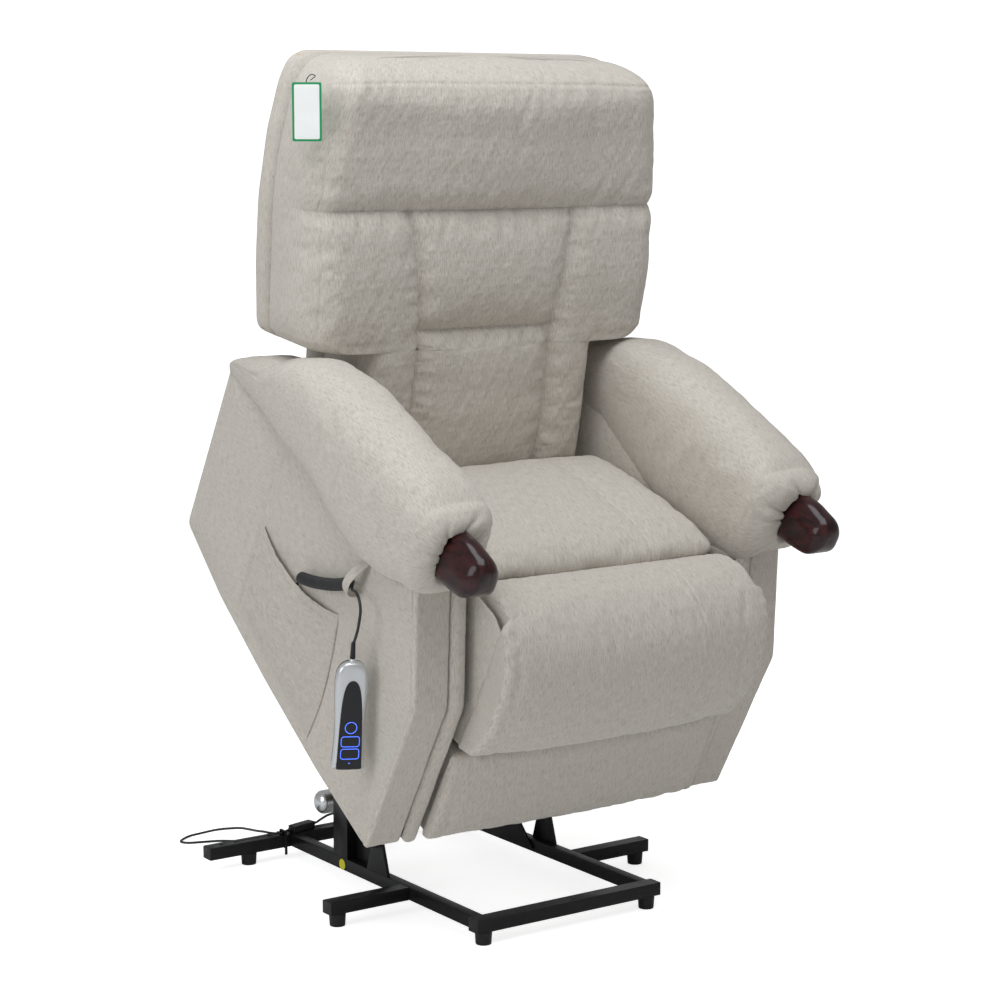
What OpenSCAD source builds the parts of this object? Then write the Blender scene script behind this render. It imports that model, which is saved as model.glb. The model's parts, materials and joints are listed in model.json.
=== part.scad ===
// Lift recliner chair, shown raised: a steel base on glides, a pair of lift
// arms and front links driven by one actuator, and an upholstered chair whose
// back reclines and whose legrest swings out.
// +Z is up, the chair faces -Y, and the floor under the middle of the base is
// the origin. Left and right are the sitter's, so the right side is -X.
// "Chair frame" is the frame of the seat unit: its origin is the lowest front
// corner of the side panels, +Y runs to the back, and it tilts with the lift.

/* [Lift pose] */
// Forward tilt of the seat unit when raised, degrees
tilt = 30; // [20:1:32]
// How far the front corner of the side panels stands from the origin, along Y
raised_y = -268; // [-290:1:-250]
// Height of that corner above the floor
raised_z = 186; // [180:1:230]

/* [Base] */
// Length of the base from its front bar to its rear bar
base_l = 664; // [620:2:720]
// Length of the front bar
front_bar_l = 386; // [380:2:420]
// Length of the rear bar
rear_bar_l = 710; // [640:2:800]
// Distance between the outer ends of the two outriggers
outrigger_span = 687; // [600:1:760]
// Place of the outriggers' middle along Y
outrigger_y = -92; // [-140:1:-60]
// Depth of the cross bars
bar_w = 28; // [24:1:32]
// Width of the two long rails
rail_w = 20; // [18:1:24]
// Height of all base tubes
tube_h = 23; // [20:1:26]
// Wall of the base tubes
tube_wall = 2; // [1.5:0.5:3]
// Distance between the outer faces of the rails
rail_span = 372; // [366:2:376]
// Height of the glides under the base
glide_h = 23; // [18:1:30]
// Top diameter of a glide
glide_d = 30; // [26:1:34]

/* [Lift linkage] */
// Pivot of the lift arms on the posts, along Y
post_y = 125; // [115:1:135]
// Height of that pivot
post_z = 229; // [220:1:240]
// Depth of a post
post_w = 48; // [40:2:54]
// Pivot of the front links on the rails, along Y
link_y = 0; // [-5:1:10]
// Height of that pivot
link_z = 106; // [98:1:112]
// Thickness of a lift arm
arm_t = 8; // [6:1:9]
// Width of a lift arm
arm_w = 34; // [30:1:38]
// Thickness of a front link
link_t = 6; // [4:1:7]
// Width of a front link
link_w = 26; // [22:1:28]
// Radius of the pivot pins
pin_r = 6; // [5:0.5:7]
// Play of the front link on its chair pin
link_play = 5.2; // [5:0.1:6]

/* [Actuators] */
// Place of the lift actuator across the chair
lift_act_x = -22; // [-40:1:-10]
// Rear pin of the lift actuator, along Y
lift_act_y = 300; // [296:1:306]
// Height of that pin
lift_act_z = 95; // [92:1:105]
// Place of the recline actuator across the chair
recline_act_x = 80; // [60:1:100]
// Outer radius of an actuator tube
act_tube_r = 16; // [14:1:18]
// Radius of an actuator rod
act_rod_r = 10; // [8:1:11]

/* [Seat unit] */
// Outer width over the two side panels
body_w = 754; // [740:2:800]
// Thickness of an upholstered side panel
panel_t = 15; // [12:1:20]
// Width of one arm between the faces of its two panels
arm_box_w = 100; // [96:1:110]
// Width of an arm pad
pad_w = 152; // [140:2:156]
// Width of the seat cushion
seat_w = 500; // [460:2:506]
// Depth of the seat, front to back
seat_l = 363; // [350:1:372]
// Height of the seat cushion's crown
seat_crown = 12; // [4:1:24]
// Width of the legrest's upper pad
legpad_w = 508; // [480:2:509]
// Width of the legrest's lower panel
legpanel_w = 540; // [500:2:546]

/* [Back] */
// Lean of the back from the chair frame's upright, degrees
back_lean = 22; // [18:1:24]
// Height of the back along its lean
back_h = 765; // [720:1:800]
// Width of the back above the arms
wing_w = 714; // [660:2:730]
// Width of the back between the arms
waist_w = 486; // [440:2:490]
// Height at which the back widens over the arms
wing_b = 272; // [270:1:280]
// Height of the seam under the headrest
headrest_b = 510; // [480:1:530]
// Height of the cross seam in the middle of the back
mid_seam_b = 303; // [290:1:320]
// Depth of the sewn channels
channel_d = 13; // [6:1:18]

/* [Handset] */
// Length of the handset
handset_l = 182; // [160:1:200]
// Width of the handset
handset_w = 54; // [48:1:58]
// Turn of the hanging handset about the upright, degrees
handset_turn = -20; // [-30:1:0]
// Diameter of the handset cord
lead_d = 5; // [4.6:0.2:5.2]
// Curls in the curly part of the handset cord
curls = 25; // [16:1:26]
// Outer radius of the curls
curl_r = 10.6; // [9:0.2:11.6]

/* [Power cord] */
// Diameter of the power cord
cord_d = 4.5; // [4:0.1:4.6]
// Turns in each of the two layers of the stored coil
coil_turns = 4; // [2:1:4]
// Radius of the coil's outermost turn
coil_r = 36; // [30:1:40]

/* [Hidden] */

$fn = 48;
eps = 0.01;
fit = 0.05;            // radial running clearance of a pin in its bore
soft_gap = 0.3;        // clearance round soft pieces
fabric = "#c8c0b3";
fabric_shade = "#bdb4a6";
steel_black = "#1b1b1d";
zinc = "#b9bdc0";
plastic_black = "#141416";
plastic_grey = "#c9cabf";
mahogany = "#3c0f10";
timber = "#c9a878";

// ---- places worked out from the driving sizes ----
base_front = -base_l / 2;
base_rear = base_l / 2;
base_top = glide_h + tube_h;
rail_out = rail_span / 2;
rail_in = rail_out - rail_w;
rail_mid = rail_out - rail_w / 2;
arm_x = rail_out + 4;              // inner face of a lift arm
plate_x = arm_x + arm_t + 4;       // inner face of a chassis plate
plate_t = 5;
body_out = body_w / 2;
// The base's middle stands here, so the origin is under the middle of the whole raised chair
base_middle = [18, 131, 0];
module placed() translate(base_middle) children();
// How much wider the room between the arms is than the standard chair's
standard_body_w = 754;
standard_arm_w = 100;
widened = (body_w - standard_body_w) - 2 * (arm_box_w - standard_arm_w);
cushion_w = seat_w + widened;
upper_leg_w = legpad_w + widened;
lower_leg_w = legpanel_w + widened;
low_back_w = waist_w + widened;
arm_in = body_out - arm_box_w;     // face of an arm towards the seat
pad_mid = arm_in + 61;             // middle of an arm pad across the chair
foot_x = rail_in + 8;
mid_foot_x = outrigger_span / 2 - 19;
rear_foot_x = 269;

// Pivots in the chair frame, as [y, z]
c_pivot = [123, 103];              // lift arm on the chassis
d_pivot = [60, 51];                // front link on the chassis
back_pivot = [500, 230];
torque_pivot = [260, 290];
leg_pivot = [10, 415];
crank = [30, -100];                // same vector on legrest and crank
act_front = [150, 180];            // front pivot of the recline actuator
lever = [30, -80];                 // recline lever from the back pivot
lift_eye = [-130, -60];            // actuator eye from the lift arm's pivot

seat_front_y = 121;
seat_rear_y = seat_front_y + seat_l;
seat_base_z = 347;
back_foot = [seat_rear_y + 2, 335]; // lowest front edge of the back
back_depth = 146.7;                // from the front of the back to its board
board_t = 12;
rear_pad_t = 16;

// A chair-frame point [y, z] in the raised pose
function raised(p) = [raised_y + p[0] * cos(tilt) - p[1] * sin(tilt),
                      raised_z + p[0] * sin(tilt) + p[1] * cos(tilt)];
a_point = [post_y, post_z];
b_point = [link_y, link_z];
c_point = raised(c_pivot);
d_point = raised(d_pivot);
e_point = a_point + lift_eye;
f_point = [lift_act_y, lift_act_z];
lift_len = norm(e_point - f_point);
lift_angle = atan2(e_point[1] - f_point[1], f_point[0] - e_point[0]);
k_pivot = back_pivot + lever;
recline_len = norm(k_pivot - act_front);
recline_angle = atan2(k_pivot[1] - act_front[1], k_pivot[0] - act_front[0]);

// ---- placing and drawing helpers ----
module chair_frame() { translate([0, raised_y, raised_z]) rotate([tilt, 0, 0]) children(); }
module back_frame() { chair_frame() translate([0, back_foot[0], back_foot[1]]) rotate([-back_lean, 0, 0]) children(); }
module both_sides() { children(); mirror([1, 0, 0]) children(); }
module plate_yz(x, t) { translate([x, 0, 0]) rotate([90, 0, 90]) linear_extrude(t) children(); }
module rod_x(x1, x2, p, r) { translate([x1, p[0], p[1]]) rotate([0, 90, 0]) cylinder(h = x2 - x1, r = r); }
module box(low, high) { translate(low) cube(high - low); }
module tube_box(low, high, wall, axis) {
    grow = [axis == 0 ? -1 : wall, axis == 1 ? -1 : wall, axis == 2 ? -1 : wall];
    difference() {
        box(low, high);
        box(low + grow, high - grow);
    }
}
module bar_2d(p, q, w) {
    v = q - p;
    translate(p) circle(d = w);
    translate(q) circle(d = w);
    translate(p) rotate(atan2(v[1], v[0])) translate([0, -w / 2]) square([norm(v), w]);
}
module disc_2d(p, d) { translate(p) circle(d = d); }

// ---- lofted solids ----
function mid(points) = let (n = len(points)) [for (k = [0:2]) [for (p = points) p[k]] * [for (p = points) 1] / n];
module loft(given, turned = false) {
    rings = turned ? [for (r = given) [for (j = [len(r) - 1:-1:0]) r[j]]] : given;
    n = len(rings[0]);
    m = len(rings);
    points = concat([for (r = rings) each r], [mid(rings[0]), mid(rings[m - 1])]);
    sides = [for (i = [0:m - 2]) for (j = [0:n - 1])
        let (a = i * n + j, b = i * n + (j + 1) % n) each [[a, b, a + n], [b, b + n, a + n]]];
    first = [for (j = [0:n - 1]) [(j + 1) % n, j, n * m]];
    last = [for (j = [0:n - 1]) [(m - 1) * n + j, (m - 1) * n + (j + 1) % n, n * m + 1]];
    polyhedron(points, concat(sides, first, last), convexity = 8);
}

// A cushion across the chair: outline entries are [y, z, push_y, push_z], the
// push being the crown at mid width, and the ends are drawn in by draw
cushion_stations = [-1, -0.97, -0.88, -0.62, -0.31, 0, 0.31, 0.62, 0.88, 0.97, 1];
function end_draw(u) = max(0, (abs(u) - 0.85) / 0.15);
function cushion_ring(u, outline, half, draw, centre) =
    let (s = 1 - draw * pow(end_draw(u), 2), k = 1 - u * u)
    [for (p = outline) [u * half,
        centre[0] + (p[0] + p[2] * k - centre[0]) * s,
        centre[1] + (p[1] + p[3] * k - centre[1]) * s]];
module cushion(outline, width, draw, centre, turned = false) {
    loft([for (u = cushion_stations) cushion_ring(u, outline, width / 2, draw, centre)], turned);
}

// ---- swept tubes ----
function unit(v) = v / norm(v);
function tangent(path, i) = unit(path[min(i + 1, len(path) - 1)] - path[max(i - 1, 0)]);
function side_of(t) = unit(cross(t, abs(t[2]) < 0.9 ? [0, 0, 1] : [1, 0, 0]));
function tube_ring(c, n, t, r, sides) = let (b = cross(t, n))
    [for (k = [0:sides - 1]) c + r * (cos(360 * k / sides) * n + sin(360 * k / sides) * b)];
// The starting normal is carried along the path without twist
function carried(path, i, n) = let (t = tangent(path, i)) unit(n - (n * t) * t);
function normals(path, i = 0, n = undef) = i >= len(path) ? [] :
    let (now = i == 0 ? side_of(tangent(path, 0)) : carried(path, i, n))
    concat([now], normals(path, i + 1, now));
module swept(path, r, sides) {
    ns = normals(path);
    loft([for (i = [0:len(path) - 1]) tube_ring(path[i], ns[i], tangent(path, i), r, sides)], true);
}
// Catmull-Rom curve through the route's points, steps rings to a stretch
function spline_at(a, b, c, d, t) = 0.5 * (2 * b + (c - a) * t + (2 * a - 5 * b + 4 * c - d) * t * t
    + (3 * b - a - 3 * c + d) * t * t * t);
function beyond(route, i) = let (n = len(route) - 1)
    i < 0 ? 2 * route[0] - route[1] : i > n ? 2 * route[n] - route[n - 1] : route[i];
function smooth_path(route, steps) = let (n = len(route)) concat(
    [for (i = [0:n - 2]) for (k = [0:steps - 1])
        spline_at(beyond(route, i - 1), route[i], route[i + 1], beyond(route, i + 2), k / steps)],
    [route[n - 1]]);

// ================= base =================
module base_rails() color(steel_black) both_sides()
    tube_box([rail_in, base_front + bar_w, glide_h], [rail_out, base_rear - bar_w, base_top], tube_wall, 1);

hole_from_end = 28;
module cross_bar(length, y) tube_box([-length / 2, y, glide_h], [length / 2, y + bar_w, base_top], tube_wall, 0);
module base_cross_bars() color(steel_black) {
    cross_bar(front_bar_l, base_front);
    difference() {
        cross_bar(rear_bar_l, base_rear - bar_w);
        both_sides() for (step = [0, 30])
            translate([rear_bar_l / 2 - hole_from_end - step, base_rear - bar_w / 2, base_top - tube_wall - 1])
                cylinder(h = tube_wall + 2, r = 3);
    }
}

module base_outriggers() color(steel_black) both_sides()
    tube_box([rail_out, outrigger_y - bar_w / 2, glide_h],
        [outrigger_span / 2, outrigger_y + bar_w / 2, base_top], tube_wall, 0);

// Plugs pushed into the open ends of the bars
module end_cap(x, y) {
    box([x, y, glide_h], [x + 2.5, y + bar_w, base_top]);
    box([x - 8, y + tube_wall + fit, glide_h + tube_wall + fit],
        [x + eps, y + bar_w - tube_wall - fit, base_top - tube_wall - fit]);
}
module base_end_caps() color(plastic_black) both_sides() {
    end_cap(front_bar_l / 2, base_front);
    end_cap(rear_bar_l / 2, base_rear - bar_w);
    end_cap(outrigger_span / 2, outrigger_y - bar_w / 2);
}

module glide(x, y) translate([x, y, 0]) cylinder(h = glide_h, r1 = glide_d / 2 - 1.5, r2 = glide_d / 2);
module base_glides() color(plastic_black) both_sides() {
    glide(foot_x, base_front + bar_w / 2);
    glide(mid_foot_x, outrigger_y);
    glide(rear_foot_x, base_rear - bar_w / 2);
}

post_top = post_z + 22;
module base_posts() color(steel_black) both_sides() difference() {
    tube_box([rail_in, post_y - post_w / 2, base_top], [rail_out, post_y + post_w / 2, post_top], 2, 2);
    rod_x(rail_in - 1, rail_out + 1, a_point, pin_r + fit);
}

bracket_t = 6;
gusset_t = 4;
ear_gap = 40;
ear_t = 4;
module base_brackets() color(steel_black) {
    both_sides() {
        plate_yz(rail_out - bracket_t, bracket_t) difference() {
            union() {
                polygon([[link_y - 35, base_top], [link_y + 35, base_top],
                    [link_y + 13, link_z + 9], [link_y - 13, link_z + 9]]);
                disc_2d(b_point, 32);
            }
            disc_2d(b_point, 2 * (pin_r + fit));
        }
        plate_yz(rail_in - gusset_t, gusset_t)
            polygon([[link_y + 10, glide_h + 7], [post_y + 45, glide_h + 7],
                [post_y + 25, 120], [post_y - 27, 120]]);
    }
    for (side = [-1, 1])
        plate_yz(lift_act_x + side * (ear_gap + ear_t) / 2 - ear_t / 2, ear_t) difference() {
            union() {
                disc_2d(f_point, 28);
                polygon([[base_rear - bar_w, base_top], [base_rear, base_top],
                    [lift_act_y + 13, lift_act_z + 4], [lift_act_y - 13, lift_act_z - 2]]);
            }
            disc_2d(f_point, 2 * (pin_r + fit));
        }
    box([lift_act_x - ear_gap / 2 - ear_t, base_rear - bar_w, base_top],
        [lift_act_x + ear_gap / 2 + ear_t, base_rear, base_top + 4]);
}

module headed_pin(x1, x2, p, r, head) {
    rod_x(x1, x2, p, r);
    rod_x(x2, x2 + 3, p, head);
    rod_x(x1 - 3, x1, p, head);
}
module base_pins() color(zinc) {
    both_sides() {
        headed_pin(rail_in - 0.3, arm_x + arm_t + 0.3, a_point, pin_r, 10);
        headed_pin(rail_out - bracket_t - 0.3, arm_x + link_t + 0.3, b_point, pin_r, 9);
        rod_x(rail_out + 0.3, arm_x - 0.3, b_point, 11);
    }
    headed_pin(lift_act_x - ear_gap / 2 - ear_t - 0.3, lift_act_x + ear_gap / 2 + ear_t + 0.3, f_point, pin_r, 9);
}

module rail_dot() color("#e6dc1e") translate([-rail_out - 0.4, post_y - 6, base_top - 13])
    rotate([0, 90, 0]) cylinder(h = 0.4, r = 10);

tie_x = -198;
module cable_tie() color(plastic_black) {
    difference() {
        box([tie_x - 2.5, base_rear - bar_w - 1.3, glide_h - 1.3], [tie_x + 2.5, base_rear + 1.3, base_top + 8.5]);
        box([tie_x - 4, base_rear - bar_w, glide_h], [tie_x + 4, base_rear, base_top]);
        box([tie_x - 4, base_rear - 29, base_top - 1], [tie_x + 4, base_rear - 11, base_top + 7.2]);
        box([tie_x - 4, base_rear - bar_w - 2, base_top + 1.3], [tie_x + 4, base_rear - 30.3, base_top + 10]);
        box([tie_x - 4, base_rear - 9.7, base_top + 1.3], [tie_x + 4, base_rear + 2, base_top + 10]);
    }
    box([tie_x - 2.5, base_rear - bar_w - 3.3, 9], [tie_x + 2.5, base_rear - bar_w - 1.3, glide_h + 6]);
}

// ================= lift linkage =================
torque_r = 12.5;
module lift_arm() plate_yz(arm_x, arm_t) difference() {
    union() {
        bar_2d(a_point, c_point, arm_w);
        bar_2d(a_point, e_point, 30);
        disc_2d(a_point, 40);
        disc_2d(c_point, 38);
    }
    disc_2d(a_point, 2 * (pin_r + fit));
    disc_2d(c_point, 2 * (pin_r + fit));
}
module lift_frame() color(steel_black) {
    both_sides() lift_arm();
    rod_x(-arm_x - 1, arm_x + 1, e_point, torque_r);
}

link_pin_r = 5;
module front_links() color(steel_black) both_sides() plate_yz(arm_x, link_t) difference() {
    union() {
        bar_2d(b_point, d_point, link_w);
        disc_2d(d_point, 35);
    }
    disc_2d(b_point, 2 * (pin_r + fit));
    disc_2d(d_point, 2 * (link_pin_r + link_play));
}

// ================= lift actuator =================
module along_yz(p, q) {
    v = q - p;
    translate([0, p[0], p[1]]) rotate([atan2(-v[0], v[1]), 0, 0]) children();
}
module lift_act() translate([lift_act_x, 0, 0]) along_yz(f_point, e_point) children();
module eye(r_out, r_in, width) difference() {
    rod_x(-width / 2, width / 2, [0, 0], r_out);
    rod_x(-width / 2 - 1, width / 2 + 1, [0, 0], r_in);
}
gear_z = 86;
tube_end = 214;
motor_at = [8, 62];
motor_r = 22;
module gear_case(bore, width) {
    difference() {
        union() {
            rod_x(-width / 2, width / 2, [0, 0], bore + 9);
            box([-width / 2, -bore - 8, 0], [width / 2, bore + 8, 30]);
            box([-22, -22, 26], [22, 32, gear_z]);
        }
        rod_x(-width, width, [0, 0], bore);
    }
}
module lift_actuator_gearbox() color(plastic_grey) lift_act() {
    gear_case(pin_r + fit, ear_gap - 1);
    rod_x(-46, -21, motor_at, motor_r + 1.5);
}
module motor_can(length) rotate([0, -90, 0]) rotate_extrude() difference() {
    union() {
        square([motor_r, length]);
        translate([0, length]) intersection() {
            scale([1, 0.7]) circle(r = motor_r);
            square([motor_r + 1, motor_r]);
        }
        translate([0, 8]) square([motor_r + 1, 7]);
    }
    translate([-50, -1]) square([50, length + 60]);
}
module lift_actuator_motor() color("#cfd2d4") lift_act()
    translate([-46, motor_at[0], motor_at[1]]) motor_can(84);
module lift_actuator_tube() color("#b5b8ba") lift_act() difference() {
    translate([0, 0, gear_z]) cylinder(h = tube_end - gear_z, r = act_tube_r);
    translate([0, 0, gear_z + 2]) cylinder(h = tube_end, r = act_rod_r + fit);
}
ring_r = torque_r + 2.5;
module lift_actuator_rod() color(zinc) lift_act() {
    translate([0, 0, 142]) cylinder(h = lift_len - 142 - ring_r - 2, r = act_rod_r);
    translate([0, 0, lift_len]) eye(ring_r + 6, ring_r, 30);
}

// ================= chassis =================
rail25 = 25;
front_rail_at = [370, 287];
rear_rail_at = [607, 177];
module rail_notch(at) translate(at) square(rail25);
module side_plate() plate_yz(plate_x, plate_t) difference() {
    polygon([[40, 28], [82, 28], [300, 150], [470, 150], [645, 160], [645, 215], [560, 255],
        [520, 268], [440, 312], [130, 312], [112, 250], [92, 180], [80, 125], [34, 76]]);
    disc_2d(c_pivot, 2 * (pin_r + fit));
    disc_2d(d_pivot, 2 * (link_pin_r + fit));
    disc_2d(torque_pivot, 2 * (torque_r + fit));
    disc_2d(back_pivot, 2 * (torque_r + fit));
    disc_2d(act_front, 2 * (torque_r + fit));
    rail_notch(front_rail_at);
    rail_notch(rear_rail_at);
}
module chassis_side_plates() color(steel_black) chair_frame() both_sides() side_plate();

module arm_rail(at) tube_box([-arm_in, at[0], at[1]], [arm_in, at[0] + rail25, at[1] + rail25], 2, 0);
module chassis_cross_rails() color(steel_black) chair_frame() {
    arm_rail(front_rail_at);
    arm_rail(rear_rail_at);
    difference() {
        rod_x(-plate_x - plate_t, plate_x + plate_t, act_front, torque_r);
        rod_x(-plate_x - 10, plate_x + 10, act_front, torque_r - 2);
    }
}

hinge_x = upper_leg_w / 2 + 4.5;       // inner face of the legrest's hinge bracket
leg_plate_x = upper_leg_w / 2 + 1;
leg_plate_t = 3;
leg_pin_r = 5;
module chassis_pins() color(zinc) chair_frame() both_sides() {
    rod_x(arm_x - 0.3, plate_x + plate_t + 4, c_pivot, pin_r);
    rod_x(arm_x - 3.5, arm_x - 0.3, c_pivot, 10);
    rod_x(plate_x + plate_t, plate_x + plate_t + 4, c_pivot, 10);
    rod_x(arm_x - 0.5, plate_x + plate_t + 4, d_pivot, link_pin_r);
    rod_x(arm_x - 3.5, arm_x - 0.5, d_pivot, 14);
    rod_x(plate_x + plate_t, plate_x + plate_t + 4, d_pivot, 9);
    rod_x(leg_plate_x - 0.3, hinge_x + leg_plate_t + 2, leg_pivot, leg_pin_r);
    rod_x(hinge_x + leg_plate_t, hinge_x + leg_plate_t + 2, leg_pivot, 9);
}

rail_h = 35;
seat_rail_x = plate_x + plate_t;
seat_rail_w = (hinge_x - seat_rail_x) * 24 / 51.5;
seat_rear_rail_y = seat_rear_y - 44;
module seat_side_rails() color(timber) chair_frame() both_sides()
    box([seat_rail_x, seat_front_y - 1, seat_base_z - rail_h], [seat_rail_x + seat_rail_w, seat_rear_rail_y + 25, seat_base_z]);

arm_top_line = [[110, 468], [175, 440.7], [284, 427.7], [526, 468.7], [733, 453.2]];
arm_top_t = 19.7;
// The board on top of an arm's frame, in straight lengths
module arm_top_board() for (i = [0:3]) let (a = arm_top_line[i], b = arm_top_line[i + 1])
    plate_yz(arm_in + panel_t, arm_box_w - 2 * panel_t)
        polygon([a, b - [0.2, 0], b - [0.2, arm_top_t], a - [0, arm_top_t]]);
module timber_rails() color(timber) chair_frame() {
    for (y = [seat_front_y - 1, seat_rear_rail_y])
        box([-seat_rail_x, y, seat_base_z - rail_h + 8], [seat_rail_x, y + 25, seat_base_z]);
    both_sides() {
        arm_top_board();
        plate_yz(arm_in + panel_t, arm_box_w - 2 * panel_t)
            polygon([[22, 22], [700, 130], [700, 165], [22, 57]]);
    }
}

spring_d = 4;
spring_rows = 5;
module zigzag(x, y1, y2) {
    steps = 12;
    for (i = [0:steps - 1])
        bar_2d([x + (i % 2 == 0 ? -18 : 18), y1 + (y2 - y1) * i / steps],
            [x + (i % 2 == 0 ? 18 : -18), y1 + (y2 - y1) * (i + 1) / steps], spring_d);
}
module seat_springs() color(zinc) chair_frame() translate([0, 0, seat_base_z - 18])
    linear_extrude(spring_d) for (i = [0:spring_rows - 1])
        zigzag((i - (spring_rows - 1) / 2) * 84, seat_front_y + 26.5, seat_rear_rail_y - 2.5);

// Seat outline: [y, z, crown along y, crown along z]
seat_outline = [
    [seat_front_y + 4, seat_base_z + 0.3, 0, 0], [seat_front_y + 4, 400, 0, 0], [seat_front_y + 1, 430, 0, 0],
    [seat_front_y - 7, 458, 0, 3], [seat_front_y + 7, 473, 0, seat_crown - 3],
    [seat_front_y + 59, 477, 0, seat_crown], [seat_front_y + 139, 466, 0, seat_crown],
    [seat_front_y + 219, 450, 0, seat_crown], [seat_front_y + 299, 428, 0, seat_crown - 2],
    [seat_rear_y - 18, 408, 0, seat_crown - 6], [seat_rear_y - 6, 396, 0, 0],
    [seat_rear_y - 1, seat_base_z + 0.3, 0, 0]];
module seat_cushion() color(fabric) chair_frame()
    cushion(seat_outline, cushion_w, 0.05, [(seat_front_y + seat_rear_y) / 2, 405]);

module control_box() color(plastic_black) chair_frame()
    box([-100, front_rail_at[0] - 20, front_rail_at[1] - 40], [10, front_rail_at[0] + 45, front_rail_at[1]]);

// ================= arms =================
front_t = 14;
panel_outline = [[front_t + 0.3, 2], [front_t + 0.3, 293.6], [107, 472], [175, 441], [284, 428],
    [526, 469], [752, 452], [743, 119]];
module outer_panel() chair_frame() plate_yz(body_out - panel_t, panel_t) polygon(panel_outline);
module inner_panel() chair_frame() plate_yz(arm_in, panel_t) polygon(panel_outline);
module arm_left_outer_panel() color(fabric) outer_panel();
module arm_right_outer_panel() color(fabric) mirror([1, 0, 0]) outer_panel();
module arm_left_inner_panel() color(fabric) inner_panel();
module arm_right_inner_panel() color(fabric) mirror([1, 0, 0]) inner_panel();

// The front of an arm: a flat strip, and a padded roll along its inner edge.
// A plain panel closes the rear.
roll_w = 29;
module arm_fronts() color(fabric) chair_frame() both_sides() {
    plate_yz(arm_in + 3 + roll_w, arm_box_w - 3 - roll_w)
        polygon([[0, 0], [1, 299], [94, 478], [106.6, 471.7], [front_t, 293.6], [front_t, 0]]);
    plate_yz(arm_in + panel_t, arm_box_w - 2 * panel_t)
        polygon([[729, 120], [743, 120], [751.5, 450], [737, 450]]);
    plate_yz(arm_in + 3, roll_w + eps)
        polygon([[-8, 4], [-7, 301], [84, 474], [94, 478], [106.6, 471.7], [front_t, 293.6], [front_t, 0]]);
}

// Arm pad: height of its top and outer reach along the arm
pad_top = [[60, 560], [62, 585], [72, 612], [94, 634], [130, 648], [175, 650], [230, 648], [284, 645],
    [350, 640], [423, 632], [526, 606], [578, 583], [640, 546], [700, 508], [750, 474]];
pad_under = [[60, 540], [62, 524], [72, 502], [94, 479.3], [107, 472.8], [175, 441.3], [284, 428.3],
    [526, 469.3], [752, 452.3]];
pad_reach = [[62, 0.66], [72, 0.86], [94, 0.97], [130, 1], [526, 0.98], [640, 0.84], [750, 0.66]];
pad_stations = [62, 72, 94, 130, 175, 230, 284, 350, 423, 526, 578, 640, 700, 750];
pad_sides = 16;
function power(v, e) = sign(v) * pow(abs(v), e);
function pad_ring(y) = let (
        top = lookup(y, pad_top), low = lookup(y, pad_under),
        x_in = pad_mid - pad_w / 2 + 6, x_out = x_in + (pad_w - 6) * lookup(y, pad_reach),
        front = y < 130 ? (1 - lookup(y, pad_reach)) * pad_w * 0.6 : 0)
    [for (k = [0:pad_sides - 1]) let (a = 360 * (k + 0.5) / pad_sides)
        [(x_in + front + x_out) / 2 + (x_out - x_in - front) / 2 * power(cos(a), 0.6), y,
         (top + low) / 2 + (top - low) / 2 * power(sin(a), sin(a) < 0 ? 0.3 : 0.75) / power(cos(90 / 8), 0.3)]];
module arm_pad() chair_frame() loft([for (y = pad_stations) pad_ring(y)]);
module arm_left_pad() color(fabric) arm_pad();
module arm_right_pad() color(fabric) mirror([1, 0, 0]) arm_pad();

// Carved end of the arm: sections [y, low, high, half width]
knuckle_x = pad_mid + 12;
knuckle_sections = [[-31, 594, 600, 10], [-28, 585, 606, 18], [-15, 560, 611, 24], [6, 537, 614, 26],
    [40, 528, 614, 26], [75, 522, 604, 25], [100, 520, 592, 22]];
module arm_knuckles() color(mahogany) chair_frame() both_sides()
    loft([for (s = knuckle_sections) [for (k = [0:15]) let (a = 360 * k / 16)
        [knuckle_x + s[3] * power(cos(a), 0.85), s[0], (s[1] + s[2]) / 2 + (s[2] - s[1]) / 2 * power(sin(a), 0.85)]]]);

// Pouch on the right arm, open along its upper edge
pocket_x = body_out + 0.3;
pocket_t = 11.7;
pocket_wall = 2;
pocket_outline = [[232, 40], [226, 132], [252, 295], [308, 277], [367, 262], [425, 264], [478, 268],
    [520, 274], [518, 88]];
pocket_edge = 9;
// One side wall of the pouch, between two points of its outline
module pocket_side(a, b, inward) plate_yz(pocket_x, pocket_t - pocket_wall - 0.1)
    polygon([a, b, b + inward, a + inward]);
module side_pocket() color(fabric_shade) chair_frame() mirror([1, 0, 0]) {
    plate_yz(pocket_x + pocket_t - pocket_wall, pocket_wall) polygon(pocket_outline);
    pocket_side([232, 52.2], [226, 132], [pocket_edge, 0]);
    pocket_side([226, 132.2], [252, 295], [pocket_edge, 0]);
    pocket_side([232, 40], [518, 88], [0, 12]);
    pocket_side([518 - pocket_edge, 100.2], [520 - pocket_edge, 274], [pocket_edge, 0]);
}

// Folded strap that carries the handset cord
strap_y = 214;
strap_w = 18;
strap_t = 2;
module cord_strap() color(fabric_shade) chair_frame() mirror([1, 0, 0])
    translate([0, strap_y + strap_w, 0]) rotate([90, 0, 0]) linear_extrude(strap_w) difference() {
        polygon([[pocket_x, 430], [pocket_x + 5, 430], [pocket_x + 18, 418], [pocket_x + 30, 400], [pocket_x + 31, 378],
            [pocket_x + 22, 364], [pocket_x + 8, 364], [pocket_x, 376]]);
        polygon([[pocket_x + strap_t, 422], [pocket_x + 4, 422], [pocket_x + 16, 414],
            [pocket_x + 30 - strap_t, 398], [pocket_x + 31 - strap_t, 379], [pocket_x + 21, 364 + strap_t],
            [pocket_x + 9, 364 + strap_t], [pocket_x + strap_t, 377]]);
    }

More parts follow.
